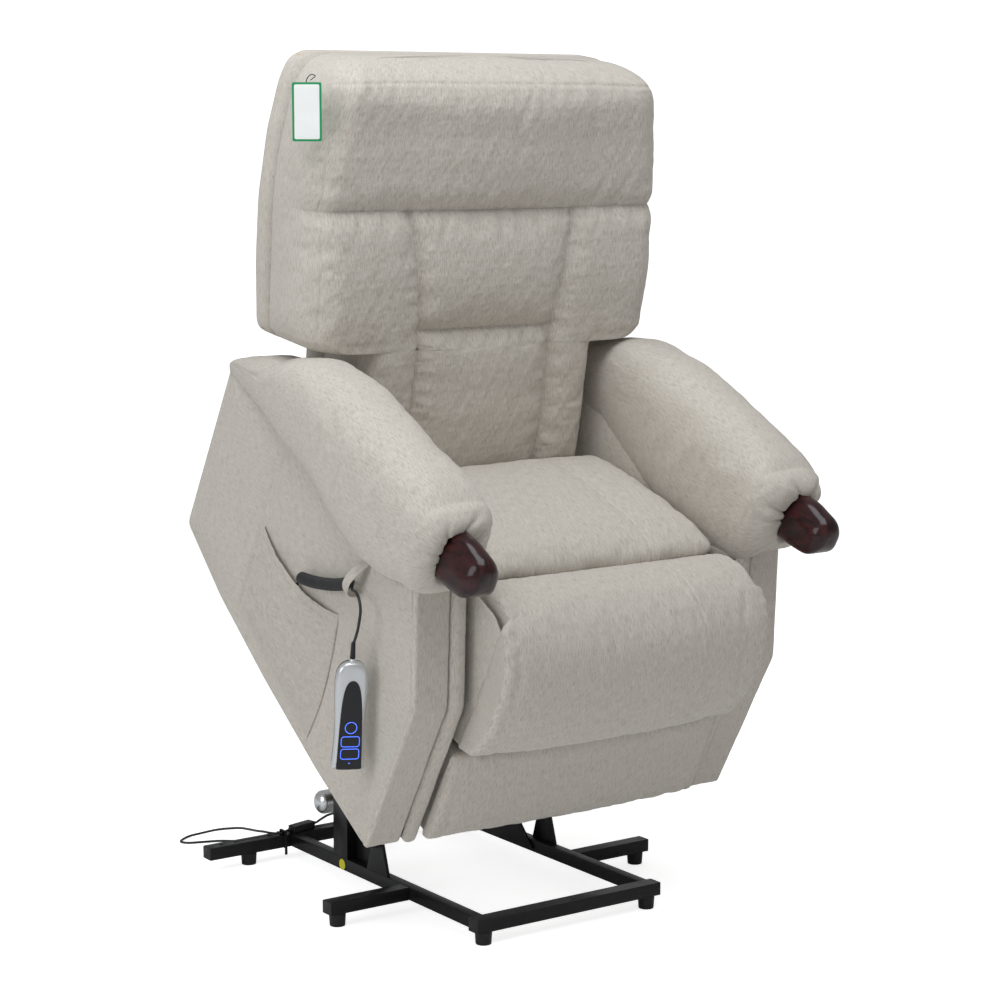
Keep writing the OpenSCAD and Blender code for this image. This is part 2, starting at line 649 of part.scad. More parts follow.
// ================= back =================
k_point = k_pivot;
back_plate_x = low_back_w / 2 + 0.6;
back_plate_t = 3.2;
lever_gap = 24;
module back_brackets() color(steel_black) chair_frame() {
    rod_x(-back_plate_x - 1, back_plate_x + 1, back_pivot, torque_r);
    both_sides() plate_yz(back_plate_x, back_plate_t) {
        bar_2d(back_pivot, [640, 330], 34);
        bar_2d([640, 330], [662, 361], 34);
        disc_2d([662, 361], 39);
        bar_2d([662, 361], [718, 500], 26);
    }
    for (side = [-1, 1])
        plate_yz(recline_act_x + side * (lever_gap + 4) / 2 - 2, 4) {
            bar_2d(back_pivot, k_point, 28);
            disc_2d(back_pivot, 36);
        }
    rod_x(recline_act_x - lever_gap / 2 - 1, recline_act_x + lever_gap / 2 + 1, k_point, 6);
}

back_front = [[0, 2], [64, -25], [112, -15], [139, -15], [303, 2], [402, 1], [headrest_b, 12], [626, 15],
    [724, 4], [758, 34], [771, 66]];
wing_half = [[0, low_back_w / 2 - 8], [30, low_back_w / 2], [wing_b - 3, low_back_w / 2], [wing_b, wing_w / 2 - 17],
    [wing_b + 9, wing_w / 2], [headrest_b, wing_w / 2 + 4], [626, wing_w / 2 - 6], [700, wing_w / 2 - 20],
    [724, wing_w / 2 - 27], [758, wing_w / 2 - 42], [771, wing_w / 2 - 62]];
channel_at = [[0, 128], [139, 141], [mid_seam_b, 140], [headrest_b, 169], [800, 200]];
back_rows = [0, 30, 64, 112, 139, 175, 221, wing_b - 3, wing_b, wing_b + 9, mid_seam_b - 12, mid_seam_b,
    mid_seam_b + 12, 360, 402, 455, headrest_b - 13, headrest_b, headrest_b + 13, 570, 626, 690, 724, 758, 771];
function groove(d) = max(0, 1 - abs(d) / 12);
function swell(b) = b > headrest_b ? pow(max(0, sin(180 * (b - headrest_b) / (771 - headrest_b))), 0.6)
    : b > mid_seam_b ? pow(max(0, sin(180 * (b - mid_seam_b) / (headrest_b - mid_seam_b))), 0.6)
    : pow(max(0, sin(180 * b / mid_seam_b)), 0.6);
function front_t_at(x, b) = let (c = lookup(b, channel_at), half = lookup(b, wing_half))
    lookup(b, back_front)
    + (b < headrest_b ? channel_d * groove(abs(x) - c) : 0)
    + (abs(b - headrest_b) < 5 ? channel_d : 0)
    + (abs(b - mid_seam_b) < 5 && abs(x) < c ? channel_d : 0)
    - 9 * swell(b) * (abs(x) < c ? 1 - pow(x / c, 2) : 0)
    + 30 * pow(abs(x) / half, 8);
function row_x(b) = let (c = lookup(b, channel_at), half = lookup(b, wing_half))
    [-half, -half * 0.94, -(half + c) / 2, -c - 12, -c, -c + 12, -c / 2, 0,
        c / 2, c - 12, c, c + 12, (half + c) / 2, half * 0.94, half];
function rear_t_at(b) = min(back_depth, 70 + b * (back_depth - 70) / 64);
function back_ring(b) = let (half = lookup(b, wing_half), rear = rear_t_at(b)) concat(
    [for (x = row_x(b)) [x, front_t_at(x, b), b]],
    [[half, (rear + front_t_at(half, b)) / 2, b], [half, rear, b], [-half, rear, b],
        [-half, (rear + front_t_at(half, b)) / 2, b]]);
module back_cushion() color(fabric) back_frame() loft([for (b = back_rows) back_ring(b)], true);

function back_edge(inset, low, high) = let (rows = [low, wing_b + 1, wing_b + 10, 400, headrest_b, 626, 724, high])
    concat([[-back_plate_x, low], [back_plate_x, low], [back_plate_x, wing_b + 1]],
        [for (i = [2:7]) [lookup(rows[i], wing_half) - inset, rows[i]]],
        [for (i = [7:-1:2]) [inset - lookup(rows[i], wing_half), rows[i]]], [[-back_plate_x, wing_b + 1]]);
module back_sheet(t, thick, outline) back_frame() translate([0, t + thick, 0]) rotate([90, 0, 0])
    linear_extrude(thick) polygon(outline);
module back_board() color(timber) back_sheet(back_depth + 0.3, board_t, back_edge(8, 72, 752));
module back_rear_panel() color(fabric) back_sheet(back_depth + board_t + 0.6, rear_pad_t, back_edge(0, 64, 764));

// Card on a string, hanging beside the top of the back
tag_w = 48;
tag_h = 95;
tag_at = [-wing_w / 2 - 28, -6, 724];
module swing_tag() back_frame() {
    color("#2c8f4e") translate(tag_at) rotate([-tilt + back_lean, 0, 0]) rotate([0, 0, -35])
        box([-tag_w / 2, -0.5, -tag_h], [tag_w / 2, 0.5, 0]);
    color("#e8e4da") swept([tag_at + [0, 1.6, -3], tag_at + [4, 6, 5], tag_at + [18, 18, 10], tag_at + [36, 34, 6],
        [-lookup(722, wing_half) - 1.1, 40, 722]], 0.8, 8);
}

// ================= recline actuator =================
module recline_act() chair_frame() translate([recline_act_x, 0, 0]) along_yz(act_front, k_pivot) children();
recline_tube_end = 292;
module recline_actuator() color(plastic_black) recline_act() {
    eye(torque_r + 7, torque_r + fit, 34);
    difference() {
        union() {
            box([-20, -22, torque_r + 2], [20, 22, gear_z]);
            translate([0, 0, gear_z - 1]) cylinder(h = recline_tube_end - gear_z + 1, r = act_tube_r);
        }
        rod_x(-30, 30, [0, 0], torque_r + fit);
        translate([0, 0, gear_z + 4]) cylinder(h = recline_tube_end, r = act_rod_r + fit);
    }
    rod_x(-110, -19, [0, 52], 20);
}
k_bore = 6 + 3.9;
module recline_rod() color(zinc) recline_act() {
    translate([0, 0, 150]) cylinder(h = recline_len - 150 - k_bore - 2, r = act_rod_r);
    translate([0, 0, recline_len]) eye(k_bore + 6, k_bore, lever_gap - 4);
}

// ================= legrest =================
board_y = 54;
board_half = leg_plate_x;
panel_rear_y = 27.5;               // the lower panel stays in front of the links
link_slot = [arm_x - 7, plate_x + plate_t + 8];   // room for the front links and plates
module legrest_board() color(timber) chair_frame() difference() {
    union() {
        box([-board_half, board_y, 20], [board_half, board_y + 12, 432]);
        box([-board_half, panel_rear_y + 0.3, 140], [board_half, board_y + eps, 198]);
    }
    both_sides() box([link_slot[0], board_y - 1, 19], [link_slot[1], board_y + 13, 128]);
}
leg_outline = [
    [86, 473, 0, 0], [70, 484, 0, 0], [30, 490, 0, 2], [-10, 482, -1, 3], [-34, 455, -5, 2], [-44, 400, -8, 0],
    [-46, 330, -8, 0], [-36, 260, -6, 0], [-18, 209, 0, 0], [30, 206, 0, 0], [50, 215, 0, 0],
    [board_y - 0.3, 440, 0, 0], [72, 452, 0, 0]];
module legrest_pad() color(fabric) chair_frame() cushion(leg_outline, upper_leg_w, 0.06, [10, 345], true);
low_outline = [[-18, 199, 0, 0], [-26, 150, -4, 0], [-31, 90, -5, 0], [-27, 30, -3, 0], [-16, 14, 0, 0],
    [panel_rear_y - 6, 14, 0, 0], [panel_rear_y, 22, 0, 0], [panel_rear_y, 199, 0, 0]];
module legrest_panel() color(fabric) chair_frame() cushion(low_outline, lower_leg_w, 0.08, [6, 105], true);

leg_lever = leg_pivot + crank;
module legrest_side_plates() color(steel_black) chair_frame() both_sides() {
    plate_yz(leg_plate_x, leg_plate_t) difference() {
        union() {
            bar_2d(leg_pivot, leg_lever, 24);
            bar_2d(leg_lever, [66, 250], 20);
            polygon([[board_y + 1, 40], [74, 40], [76, 250], [56, 250]]);
            polygon([[50, 300], [74, 240], [66, 420], [20, 420]]);
        }
        disc_2d(leg_pivot, 2 * (leg_pin_r + fit));
    }
    rod_x(leg_plate_x + leg_plate_t - 0.5, hinge_x + leg_plate_t + 0.5, leg_lever, leg_pin_r);
}
module legrest_hinge_brackets() color(steel_black) chair_frame() both_sides() {
    plate_yz(hinge_x, leg_plate_t) difference() {
        union() {
            bar_2d(leg_pivot, [150, 360], 24);
            bar_2d([150, 360], [230, 330], 24);
        }
        disc_2d(leg_pivot, 2 * (leg_pin_r + fit));
    }
    box([seat_rail_x + seat_rail_w, 205, 318], [hinge_x + 1, 235, 342]);
}
crank_x = hinge_x + leg_plate_t + 1;
crank_end = torque_pivot + crank;
module legrest_torque_tube() color(steel_black) chair_frame() {
    rod_x(-crank_x - 1, crank_x + 1, torque_pivot, torque_r);
    both_sides() {
        plate_yz(crank_x, leg_plate_t) {
            bar_2d(torque_pivot, crank_end, 22);
            disc_2d(torque_pivot, 32);
        }
        rod_x(hinge_x - 0.3, crank_x + 1, crank_end, leg_pin_r);
    }
}
module legrest_rods() color(steel_black) chair_frame() both_sides() plate_yz(hinge_x, leg_plate_t) difference() {
    bar_2d(leg_lever, crank_end, 20);
    disc_2d(leg_lever, 2 * (leg_pin_r + 0.3));
    disc_2d(crank_end, 2 * (leg_pin_r + fit));
}

// ================= handset =================
handset_at = [-body_out - 43, -306, 515];
handset_lean = 6.6;
handset_half_t = 12;
relief_h = 18;
relief_at = [0, 7.1, relief_h];
module handset() translate(handset_at) rotate([handset_lean, 0, 0]) rotate([0, 0, handset_turn]) children();
function handset_point(p) = let (
        x = p[0] * cos(handset_turn) - p[1] * sin(handset_turn), y = p[0] * sin(handset_turn) + p[1] * cos(handset_turn))
    handset_at + [x, y * cos(handset_lean) - p[2] * sin(handset_lean), y * sin(handset_lean) + p[2] * cos(handset_lean)];
module rounded_2d(w, low, high, r) {
    translate([-w / 2, low + r]) square([w, high - low - 2 * r]);
    translate([-w / 2 + r, low]) square([w - 2 * r, high - low]);
    for (x = [r - w / 2, w / 2 - r]) for (z = [low + r, high - r]) translate([x, z]) circle(r = r);
}
// A slab between two depths, thickness along Y, outline in X and Z
module slab(y1, y2) translate([0, y2, 0]) rotate([90, 0, 0]) linear_extrude(y2 - y1) children();
button_play = 0.3;
plate_low = 2 - handset_l;
button_at = -109;
button_r = 10;
rocker_at = [-132.5, -153.5];
rocker_w = 28;
rocker_h = 17;
module button_holes(grow) {
    translate([0, button_at]) circle(r = button_r + grow);
    for (z = rocker_at) rounded_2d(rocker_w + 2 * grow, z - rocker_h / 2 - grow, z + rocker_h / 2 + grow, 4);
}
module handset_front_shell() color("#c9ccce") handset() difference() {
    slab(-handset_half_t, 2) rounded_2d(handset_w, -handset_l, 0, 20);
    slab(-handset_half_t - 1, -handset_half_t + 5) button_holes(1);
}
module handset_back_shell() color(plastic_black) handset() {
    slab(2.1, handset_half_t) rounded_2d(handset_w - 1, 0.5 - handset_l, -0.5, 19.5);
    translate(relief_at - [0, 0, relief_h + 1]) cylinder(h = relief_h + 1, r1 = 4.5, r2 = 3.4);
}
module handset_face_plate() color("#0d0d0f") handset() slab(-handset_half_t - 1.6, -handset_half_t - 0.1) difference() {
    rounded_2d(handset_w - 14, plate_low, -31, 18);
    button_holes(button_play);
}
module handset_round_button() color("#3d7fd6") handset()
    slab(-handset_half_t - 2.6, -handset_half_t + 3.4) translate([0, button_at]) circle(r = button_r);
module rocker(z) difference() {
    slab(-handset_half_t - 2.6, -handset_half_t + 3.4)
        rounded_2d(rocker_w, z - rocker_h / 2 + 0.3, z + rocker_h / 2 - 0.3, 4);
}
module handset_upper_rocker() color("#26262a") handset() rocker(rocker_at[0]);
module handset_lower_rocker() color("#26262a") handset() rocker(rocker_at[1]);

// Curly cord: chosen guide points in the chair frame, from the pocket's mouth
// to the strap, with a straight tail in the pocket and a straight end
wire_r = lead_d / 2;
curl_x = -body_out - 17;
curl_guide = [[362, 290], [340, 301], [318, 314], [297, 328], [276, 343], [256, 359], [238, 376]];
rings_per_curl = 8;
function guide_point(s) = let (n = len(curl_guide) - 1, i = min(n - 1, floor(s * n)), t = s * n - i)
    spline_at(beyond(curl_guide, i - 1), curl_guide[i], curl_guide[i + 1], beyond(curl_guide, i + 2), t);
function curl_point(s) = let (
        p = guide_point(s), d = unit(guide_point(min(1, s + 0.01)) - guide_point(max(0, s - 0.01))),
        a = 360 * curls * s, r = curl_r - wire_r)
    [curl_x + r * cos(a), p[0] - d[1] * r * sin(a), p[1] + d[0] * r * sin(a)];
curl_count = curls * rings_per_curl;
curl_path = concat(
    [for (p = [[7, 392, 190], [7, 386, 225], [7, 381, 250], [7.5, 377, 268], [9, 372, 281]]) [-body_out - p[0], p[1], p[2]]],
    [for (i = [0:curl_count]) curl_point(i / curl_count)],
    [for (p = [[12, 231, 384], [19, 223, 388.5], [24, 216, 388], [26.7, 210.7, 387.1]]) [-body_out - p[0], p[1], p[2]]]);
function least(values, i = 0, best = 1e9) = i >= len(values) ? best : least(values, i + 1, min(best, values[i]));
// Least distance between points of a wound path that lie over half a turn apart
function wound_gap(path, first, last, per_turn, d) = least([for (i = [first:last])
    for (j = [i + floor(per_turn * 0.6):min(last, i + per_turn * 2 + 1)]) norm(path[i] - path[j])]) - d;
curl_gap = wound_gap(curl_path, 5, 5 + curl_count, rings_per_curl, lead_d);
echo(str("curly cord least gap to itself, mm: ", curl_gap));
module handset_curly_cord() color(plastic_black) chair_frame() swept(curl_path, wire_r, 6);

swing_at = [-body_out - 28, -281, 625];
lead_route = [for (p = [[28, -281, 625], [30, -296, 624], [35, -314, 615], [39, -324, 598], [42, -321, 570],
    [42, -311, 550]]) [-body_out - p[0], p[1], p[2]]];
module handset_lead() color(plastic_black) {
    swept(concat(smooth_path(lead_route, 3),
        [handset_point(relief_at + [0, 0, 7]), handset_point(relief_at)]), wire_r, 8);
    translate(swing_at) sphere(r = wire_r);
}

// ================= power cord =================
cord_r = cord_d / 2;
gland_at = [-44, 285, 78];
joint_at = [-154, 318.5];
joint_turn = 14;
joint_z = base_top + 0.3;
cord_z = 2.4;
joint_half = 34;
function joint_point(along) = [joint_at[0] + along * cos(joint_turn), joint_at[1] + along * sin(joint_turn), joint_z + 6.5];
feed_route = [gland_at, [-56, 288, 76.5], [-78, 298, 74], [-95, 316, 67], [-106, 328, 57], joint_point(joint_half + 6),
    joint_point(joint_half)];
main_route = [joint_point(-joint_half), joint_point(-joint_half - 5), [-199, 310.5, 49.4], [-212, 314.5, 49.6], [-220, 326, 49.4],
    [-222, 345, 47.5], [-221, 372, 42.5], [-217, 410, 36], [-213, 452, 28], [-222, 488, 20], [-234, 514, 13],
    [-255, 529, 7], [-279, 533, 4], [-300, 524, cord_z], [-309, 511, cord_z], [-300, 497, cord_z],
    [-272, 486, cord_z], [-243, 474, cord_z], [-205, 446, cord_z], [-150, 422, cord_z], [-60, 414, cord_z],
    [60, 414, cord_z], [130, 414, cord_z], [180, 414, cord_z]];
module power_cord() color(plastic_black) {
    swept(smooth_path(feed_route, 3), cord_r, 8);
    swept(smooth_path(main_route, 2), cord_r, 8);
}
module inline_connector() color("#3f4244") translate([joint_at[0], joint_at[1], joint_z]) rotate([0, 0, joint_turn]) {
    box([-26, -9, 0], [26, 9, 13]);
    for (side = [-1, 1]) translate([side * (joint_half - 8.1), 0, 6.5]) rotate([0, 90 * side, 0]) cylinder(h = 8, r1 = 5, r2 = 3.4);
}

// Stored coil: one tube that spirals in on the floor, climbs where the spiral
// turns back, and spirals out above
coil_mid = [184, 414 + coil_r];
coil_step = cord_d + 0.7;
coil_total = 2 * coil_turns + 0.5;
rings_per_turn = 24;
function ease(t) = t < 0 ? 0 : t > 1 ? 1 : t * t * (3 - 2 * t);
function coil_radius(t) = coil_r - coil_step * min(t, coil_total - t);
function coil_point(t) = [coil_mid[0] + coil_radius(t) * cos(270 + 360 * t),
    coil_mid[1] + coil_radius(t) * sin(270 + 360 * t),
    cord_z + coil_step * ease((t - coil_turns) / 0.5)];
coil_count = coil_total * rings_per_turn;
coil_exit = coil_point(coil_total) + [-coil_r - 7, 0, 0];
coil_path = concat([[180, 414, cord_z]], [for (i = [0:coil_count]) coil_point(i / rings_per_turn)],
    [coil_point(coil_total) + [-cord_d, 0, 0], coil_exit]);
coil_gap = wound_gap(coil_path, 1, 1 + coil_count, rings_per_turn, cord_d);
echo(str("power coil least gap to itself, mm: ", coil_gap));
module power_coil() color(plastic_black) swept(coil_path, cord_r, 6);

module power_adaptor() color(plastic_black) translate([coil_exit[0], coil_exit[1], 0]) {
    box([-70, -15, 0], [-8, 15, 30]);
    translate([-8.1, 0, coil_exit[2]]) rotate([0, 90, 0]) cylinder(h = 8.1, r1 = 5, r2 = 3.6);
    color(zinc) for (y = [-7, 7]) rod_x(-88, -69, [y, 15], 2.2);
}

placed() base_rails();
placed() base_cross_bars();
placed() base_outriggers();
placed() base_end_caps();
placed() base_glides();
placed() base_posts();
placed() base_brackets();
placed() base_pins();
placed() rail_dot();
placed() cable_tie();
placed() lift_frame();
placed() front_links();
placed() lift_actuator_gearbox();
placed() lift_actuator_motor();
placed() lift_actuator_tube();
placed() lift_actuator_rod();
placed() chassis_side_plates();
placed() chassis_cross_rails();
placed() chassis_pins();
placed() seat_side_rails();
placed() timber_rails();
placed() seat_springs();
placed() seat_cushion();
placed() control_box();
placed() arm_right_outer_panel();
placed() arm_left_outer_panel();
placed() arm_right_inner_panel();
placed() arm_left_inner_panel();
placed() arm_right_pad();
placed() arm_left_pad();
placed() arm_fronts();
placed() arm_knuckles();
placed() side_pocket();
placed() cord_strap();
placed() back_brackets();
placed() back_board();
placed() back_cushion();
placed() back_rear_panel();
placed() swing_tag();
placed() recline_actuator();
placed() recline_rod();
placed() legrest_board();
placed() legrest_pad();
placed() legrest_panel();
placed() legrest_side_plates();
placed() legrest_hinge_brackets();
placed() legrest_torque_tube();
placed() legrest_rods();
placed() handset_front_shell();
placed() handset_back_shell();
placed() handset_face_plate();
placed() handset_round_button();
placed() handset_upper_rocker();
placed() handset_lower_rocker();
placed() handset_curly_cord();
placed() handset_lead();
placed() power_cord();
placed() inline_connector();
placed() power_coil();
placed() power_adaptor();
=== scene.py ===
# %% [markdown]
# # Lift recliner chair
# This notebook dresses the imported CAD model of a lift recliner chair. The
# steel base, the linkage and the actuators keep their CAD shapes and get
# softened edges and real finishes. Everything that is stuffed, sewn, wound
# or moulded is made here as a surface worked out with numpy.

import json

import bmesh
import bpy
import numpy as np
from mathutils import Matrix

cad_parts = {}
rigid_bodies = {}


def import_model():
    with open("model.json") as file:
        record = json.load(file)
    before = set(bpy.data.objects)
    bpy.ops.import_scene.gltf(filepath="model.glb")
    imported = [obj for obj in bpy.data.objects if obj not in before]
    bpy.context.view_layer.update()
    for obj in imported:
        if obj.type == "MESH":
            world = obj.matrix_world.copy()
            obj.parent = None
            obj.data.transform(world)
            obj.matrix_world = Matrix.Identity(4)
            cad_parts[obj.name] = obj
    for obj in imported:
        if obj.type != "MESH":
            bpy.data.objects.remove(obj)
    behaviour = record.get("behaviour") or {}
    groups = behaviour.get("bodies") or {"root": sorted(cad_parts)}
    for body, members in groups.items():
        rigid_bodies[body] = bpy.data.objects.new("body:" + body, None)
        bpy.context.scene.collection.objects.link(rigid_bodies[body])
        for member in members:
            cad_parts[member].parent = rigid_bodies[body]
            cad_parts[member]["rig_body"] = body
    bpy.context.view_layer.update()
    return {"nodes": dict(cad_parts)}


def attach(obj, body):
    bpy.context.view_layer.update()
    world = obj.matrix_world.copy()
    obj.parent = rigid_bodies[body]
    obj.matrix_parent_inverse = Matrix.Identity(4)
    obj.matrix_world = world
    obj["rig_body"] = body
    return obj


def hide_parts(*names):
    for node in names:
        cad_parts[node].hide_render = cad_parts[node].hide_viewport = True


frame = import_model()
nodes = frame["nodes"]

# %% [markdown]
# ## The frames of the chair
# The chair tilts on its base, the back leans on the chair, and the handset
# hangs beside it. Each part is easiest to describe where it stands upright,
# so points are written in millimetres in the part's own frame and carried
# to the world by one function per frame. All of them are whole-array sums.
# A few small sums that every later cell uses come first.

# %% Frames
MM = 0.001
SIDES = ((-1, "right"), (1, "left"))
BASE_MIDDLE = np.array((18, 131, 0))
TILT, BACK_LEAN = np.radians(30), np.radians(22)
CHAIR_CORNER = BASE_MIDDLE + (0, -268, 186)
BACK_FOOT = (0, 486, 335)
HANDSET_AT, HANDSET_LEAN, HANDSET_TURN = BASE_MIDDLE + (-420, -306, 515), np.radians(6.6), np.radians(-20)


def stacked(*parts):
    """Arrays of numbers, spread to one shape, as points with one number from each."""
    return np.stack(np.broadcast_arrays(*parts), -1)


def unit(value):
    """A value held between nought and one."""
    return np.clip(value, 0, 1)


def circle(count):
    """Evenly spaced angles round a whole circle."""
    return np.linspace(0, 2 * np.pi, count, endpoint=False)


def nearest(angle):
    """An angle brought to between minus and plus half a turn."""
    return (angle + np.pi) % (2 * np.pi) - np.pi


def bell(distance, width):
    """One at no distance, falling to nothing over a width: exp(-(d/w)^2)."""
    return np.exp(-((distance / width) ** 2))


def turned_x(points, angle):
    """Points turned about the X axis: y' = y cos - z sin, z' = y sin + z cos."""
    x, y, z = np.moveaxis(np.asarray(points, float), -1, 0)
    return stacked(x, y * np.cos(angle) - z * np.sin(angle), y * np.sin(angle) + z * np.cos(angle))


def turned_z(points, angle):
    """Points turned about the Z axis: x' = x cos - y sin, y' = x sin + y cos."""
    x, y, z = np.moveaxis(np.asarray(points, float), -1, 0)
    return stacked(x * np.cos(angle) - y * np.sin(angle), x * np.sin(angle) + y * np.cos(angle), z)


def on_chair(points):
    """From the chair's own frame, in millimetres, to the world in metres."""
    return (turned_x(points, TILT) + CHAIR_CORNER) * MM


def on_back(points):
    """From the back's frame (x, depth, height up the back) to the world."""
    return on_chair(turned_x(points, -BACK_LEAN) + BACK_FOOT)


def on_handset(points):
    """From the hanging handset's frame to the world."""
    return (turned_x(turned_z(points, HANDSET_TURN), HANDSET_LEAN) + HANDSET_AT) * MM


def on_floor(points):
    """From the base's frame, where nothing is turned, to the world."""
    return (np.asarray(points, float) + BASE_MIDDLE) * MM


# %% [markdown]
# ## Camera, floor and light
# The chair stands on a white sweep under one broad lamp overhead, with a
# weaker one at its side and one in front, as a small studio lights
# furniture. The floor keeps its shadow, and a ray that goes straight to the
# camera finds plain white behind the chair.

# %% Camera
def in_scene(name, data):
    """A new object in the scene from its data."""
    made = bpy.data.objects.new(name, data)
    bpy.context.scene.collection.objects.link(made)
    return made


CAMERA_AT, CAMERA_DOWN, CAMERA_TURN, LENS = (-2.492, -3.588, 1.372), 8.48, np.radians(-34.87), 91.36
camera = in_scene("camera", bpy.data.cameras.new("camera"))
camera.location = CAMERA_AT
camera.rotation_euler = (np.radians(90 - CAMERA_DOWN), 0, CAMERA_TURN)
camera.data.sensor_width = 36
camera.data.lens = LENS
camera.data.clip_end = 60
bpy.context.scene.camera = camera
bpy.context.scene.view_settings.view_transform = "Standard"

# %% [markdown]
# ## Shader maths
# A material is a graph of nodes, and sums are easier to read as Python than
# as nodes. `Wire` holds one output socket and turns `+` and `*` into Math
# nodes. `Finish` holds one material, and its `node` method adds any other
# node from its type, its settings and what its sockets are fed.

# %% Shader maths
class Wire:
    """One output socket, with operators that add the Math node they stand for."""

    def __init__(self, finish, socket):
        self.finish, self.socket = finish, socket

    def maths(self, operation, *values):
        return self.finish.node("ShaderNodeMath", dict(enumerate([self, *values])), operation=operation)

    def __add__(self, other):
        return self.maths("ADD", other)

    def __mul__(self, other):
        return self.maths("MULTIPLY", other)

    __radd__, __rmul__ = __add__, __mul__

    def ramp(self, low, high):
        """Runs smoothly from nought to one as this value goes from low to high."""
        return self.finish.node("ShaderNodeMapRange", {0: self, 1: low, 2: high},
            interpolation_type="SMOOTHSTEP")


class Finish:
    """One material: a Principled shader, and the nodes that feed it."""

    def __init__(self, name, colour, roughness, **values):
        self.material = bpy.data.materials.new(name)
        self.material.use_nodes = True
        self.tree = self.material.node_tree
        self.shader = self.tree.nodes["Principled BSDF"]
        self.feed(**{"Base Color": (*colour, 1), "Roughness": roughness}, **values)

    def plug(self, value, socket):
        if isinstance(value, Wire):
            self.tree.links.new(value.socket, socket)
        else:
            socket.default_value = value

    def feed(self, **values):
        for name, value in values.items():
            self.plug(value, self.shader.inputs[name.replace("_", " ")])

    def node(self, kind, inputs=None, output=0, **settings):
        made = self.tree.nodes.new(kind)
        for name, value in settings.items():
            setattr(made, name, value)
        for name, value in (inputs or {}).items():
            self.plug(value, made.inputs[name])
        return Wire(self, made.outputs[output])

    def mix(self, factor, first, second):
        """A colour between two colours."""
        pair = [c if isinstance(c, Wire) else (*c, 1) for c in (first, second)]
        return self.node("ShaderNodeMix", {0: factor, 6: pair[0], 7: pair[1]}, output=2, data_type="RGBA")

    def place(self, scale=(1, 1, 1), kind="Object"):
        """Object or UV coordinates, stretched by scale."""
        source = self.node("ShaderNodeTexCoord", output={"Object": 3, "UV": 2}[kind])
        return self.node("ShaderNodeMapping", {"Vector": source, "Scale": scale})

    def noise(self, where, scale, detail=2.0, roughness=0.5):
        return self.node("ShaderNodeTexNoise", {"Vector": where, "Scale": scale, "Detail": detail,
            "Roughness": roughness})

    def bump(self, height, distance, strength):
        """Gives the surface this height, in metres at a height of one."""
        return self.node("ShaderNodeBump", {"Height": height, "Distance": distance, "Strength": strength})


# %% Floor, backdrop and lamps
def white_sweep():
    """A flat floor that curves up into a wall behind, by a quarter circle between the two."""
    along = np.linspace(0, 1, 60)
    bend, radius = unit((along - 0.5) / 0.2) * np.pi / 2, 2.0
    run = np.where(along < 0.5, (along / 0.5 - 1) * 8, 0) + radius * np.sin(bend)
    rise = radius * (1 - np.cos(bend)) + unit((along - 0.7) / 0.3) * 6
    across = np.linspace(-12, 12, 3)
    y, x = np.meshgrid(run + 4.5, across, indexing="ij")
    z = np.repeat(rise[:, None], 3, 1)
    grid = turned_z(stacked(x, y, z), CAMERA_TURN)
    index = np.arange(grid.shape[0] * 3).reshape(-1, 3)
    quads = stacked(index[:-1, :-1], index[:-1, 1:], index[1:, 1:], index[1:, :-1]).reshape(-1, 4)
    mesh = bpy.data.meshes.new("sweep")
    mesh.from_pydata(grid.reshape(-1, 3).tolist(), [], quads.tolist())
    mesh.shade_smooth()
    sweep = in_scene("sweep", mesh)
    return sweep


floor = white_sweep()
paper = Finish("white_paper", (0.9, 0.9, 0.9), 0.9)
rays = paper.node("ShaderNodeLightPath", output="Is Camera Ray").socket.node.outputs
straight = Wire(paper, rays["Is Camera Ray"]) + Wire(paper, rays["Is Transmission Ray"])
paper.feed(Emission_Strength=1.0, Emission_Color=straight.maths("MINIMUM", 1.0) * 0.75)
floor.data.materials.append(paper.material)


def lamp(name, place, aim, size, power):
    """A square soft box at a place, aimed at a point."""
    light = bpy.data.lights.new(name, "AREA")
    light.shape, light.size, light.energy, light.color = "SQUARE", size, power, (0.93, 0.97, 1.0)
    box = in_scene(name, light)
    box.location = place
    way = np.array(aim, float) - place
    box.rotation_euler = (np.arctan2(np.hypot(way[0], way[1]), -way[2]), 0,
        np.arctan2(way[1], way[0]) - np.pi / 2)


lamp("overhead", (-0.7, -0.9, 3.6), (0, 0.1, 0.6), 2.4, 74)
lamp("side", (-3.9, -0.1, 1.9), (0, 0.1, 0.6), 2.0, 39)
lamp("front", (-2.4, -3.6, 1.2), (0, 0.1, 0.5), 2.4, 5)
world = bpy.data.worlds.new("room")
bpy.context.scene.world = world
world.use_nodes = True
sky, rays = world.node_tree.nodes["Background"], world.node_tree.nodes.new("ShaderNodeLightPath")
seen = world.node_tree.nodes.new("ShaderNodeMapRange")
world.node_tree.links.new(rays.outputs["Is Camera Ray"], seen.inputs[0])
seen.inputs[3].default_value, seen.inputs[4].default_value = 0.34, 1.0
world.node_tree.links.new(seen.outputs[0], sky.inputs["Strength"])
sky.inputs["Color"].default_value = (1, 1, 1, 1)

# %% [markdown]
# ## Surfaces from grids
# Every new piece is a grid of points: rows run one way over the surface and
# columns the other. The grid may close on itself sideways, like a sleeve,
# and its ends may be drawn in to one point. Each corner of each face keeps
# its own place in a flat map measured in metres, so cloth can show its
# weave at true scale over the whole piece, seam and all.

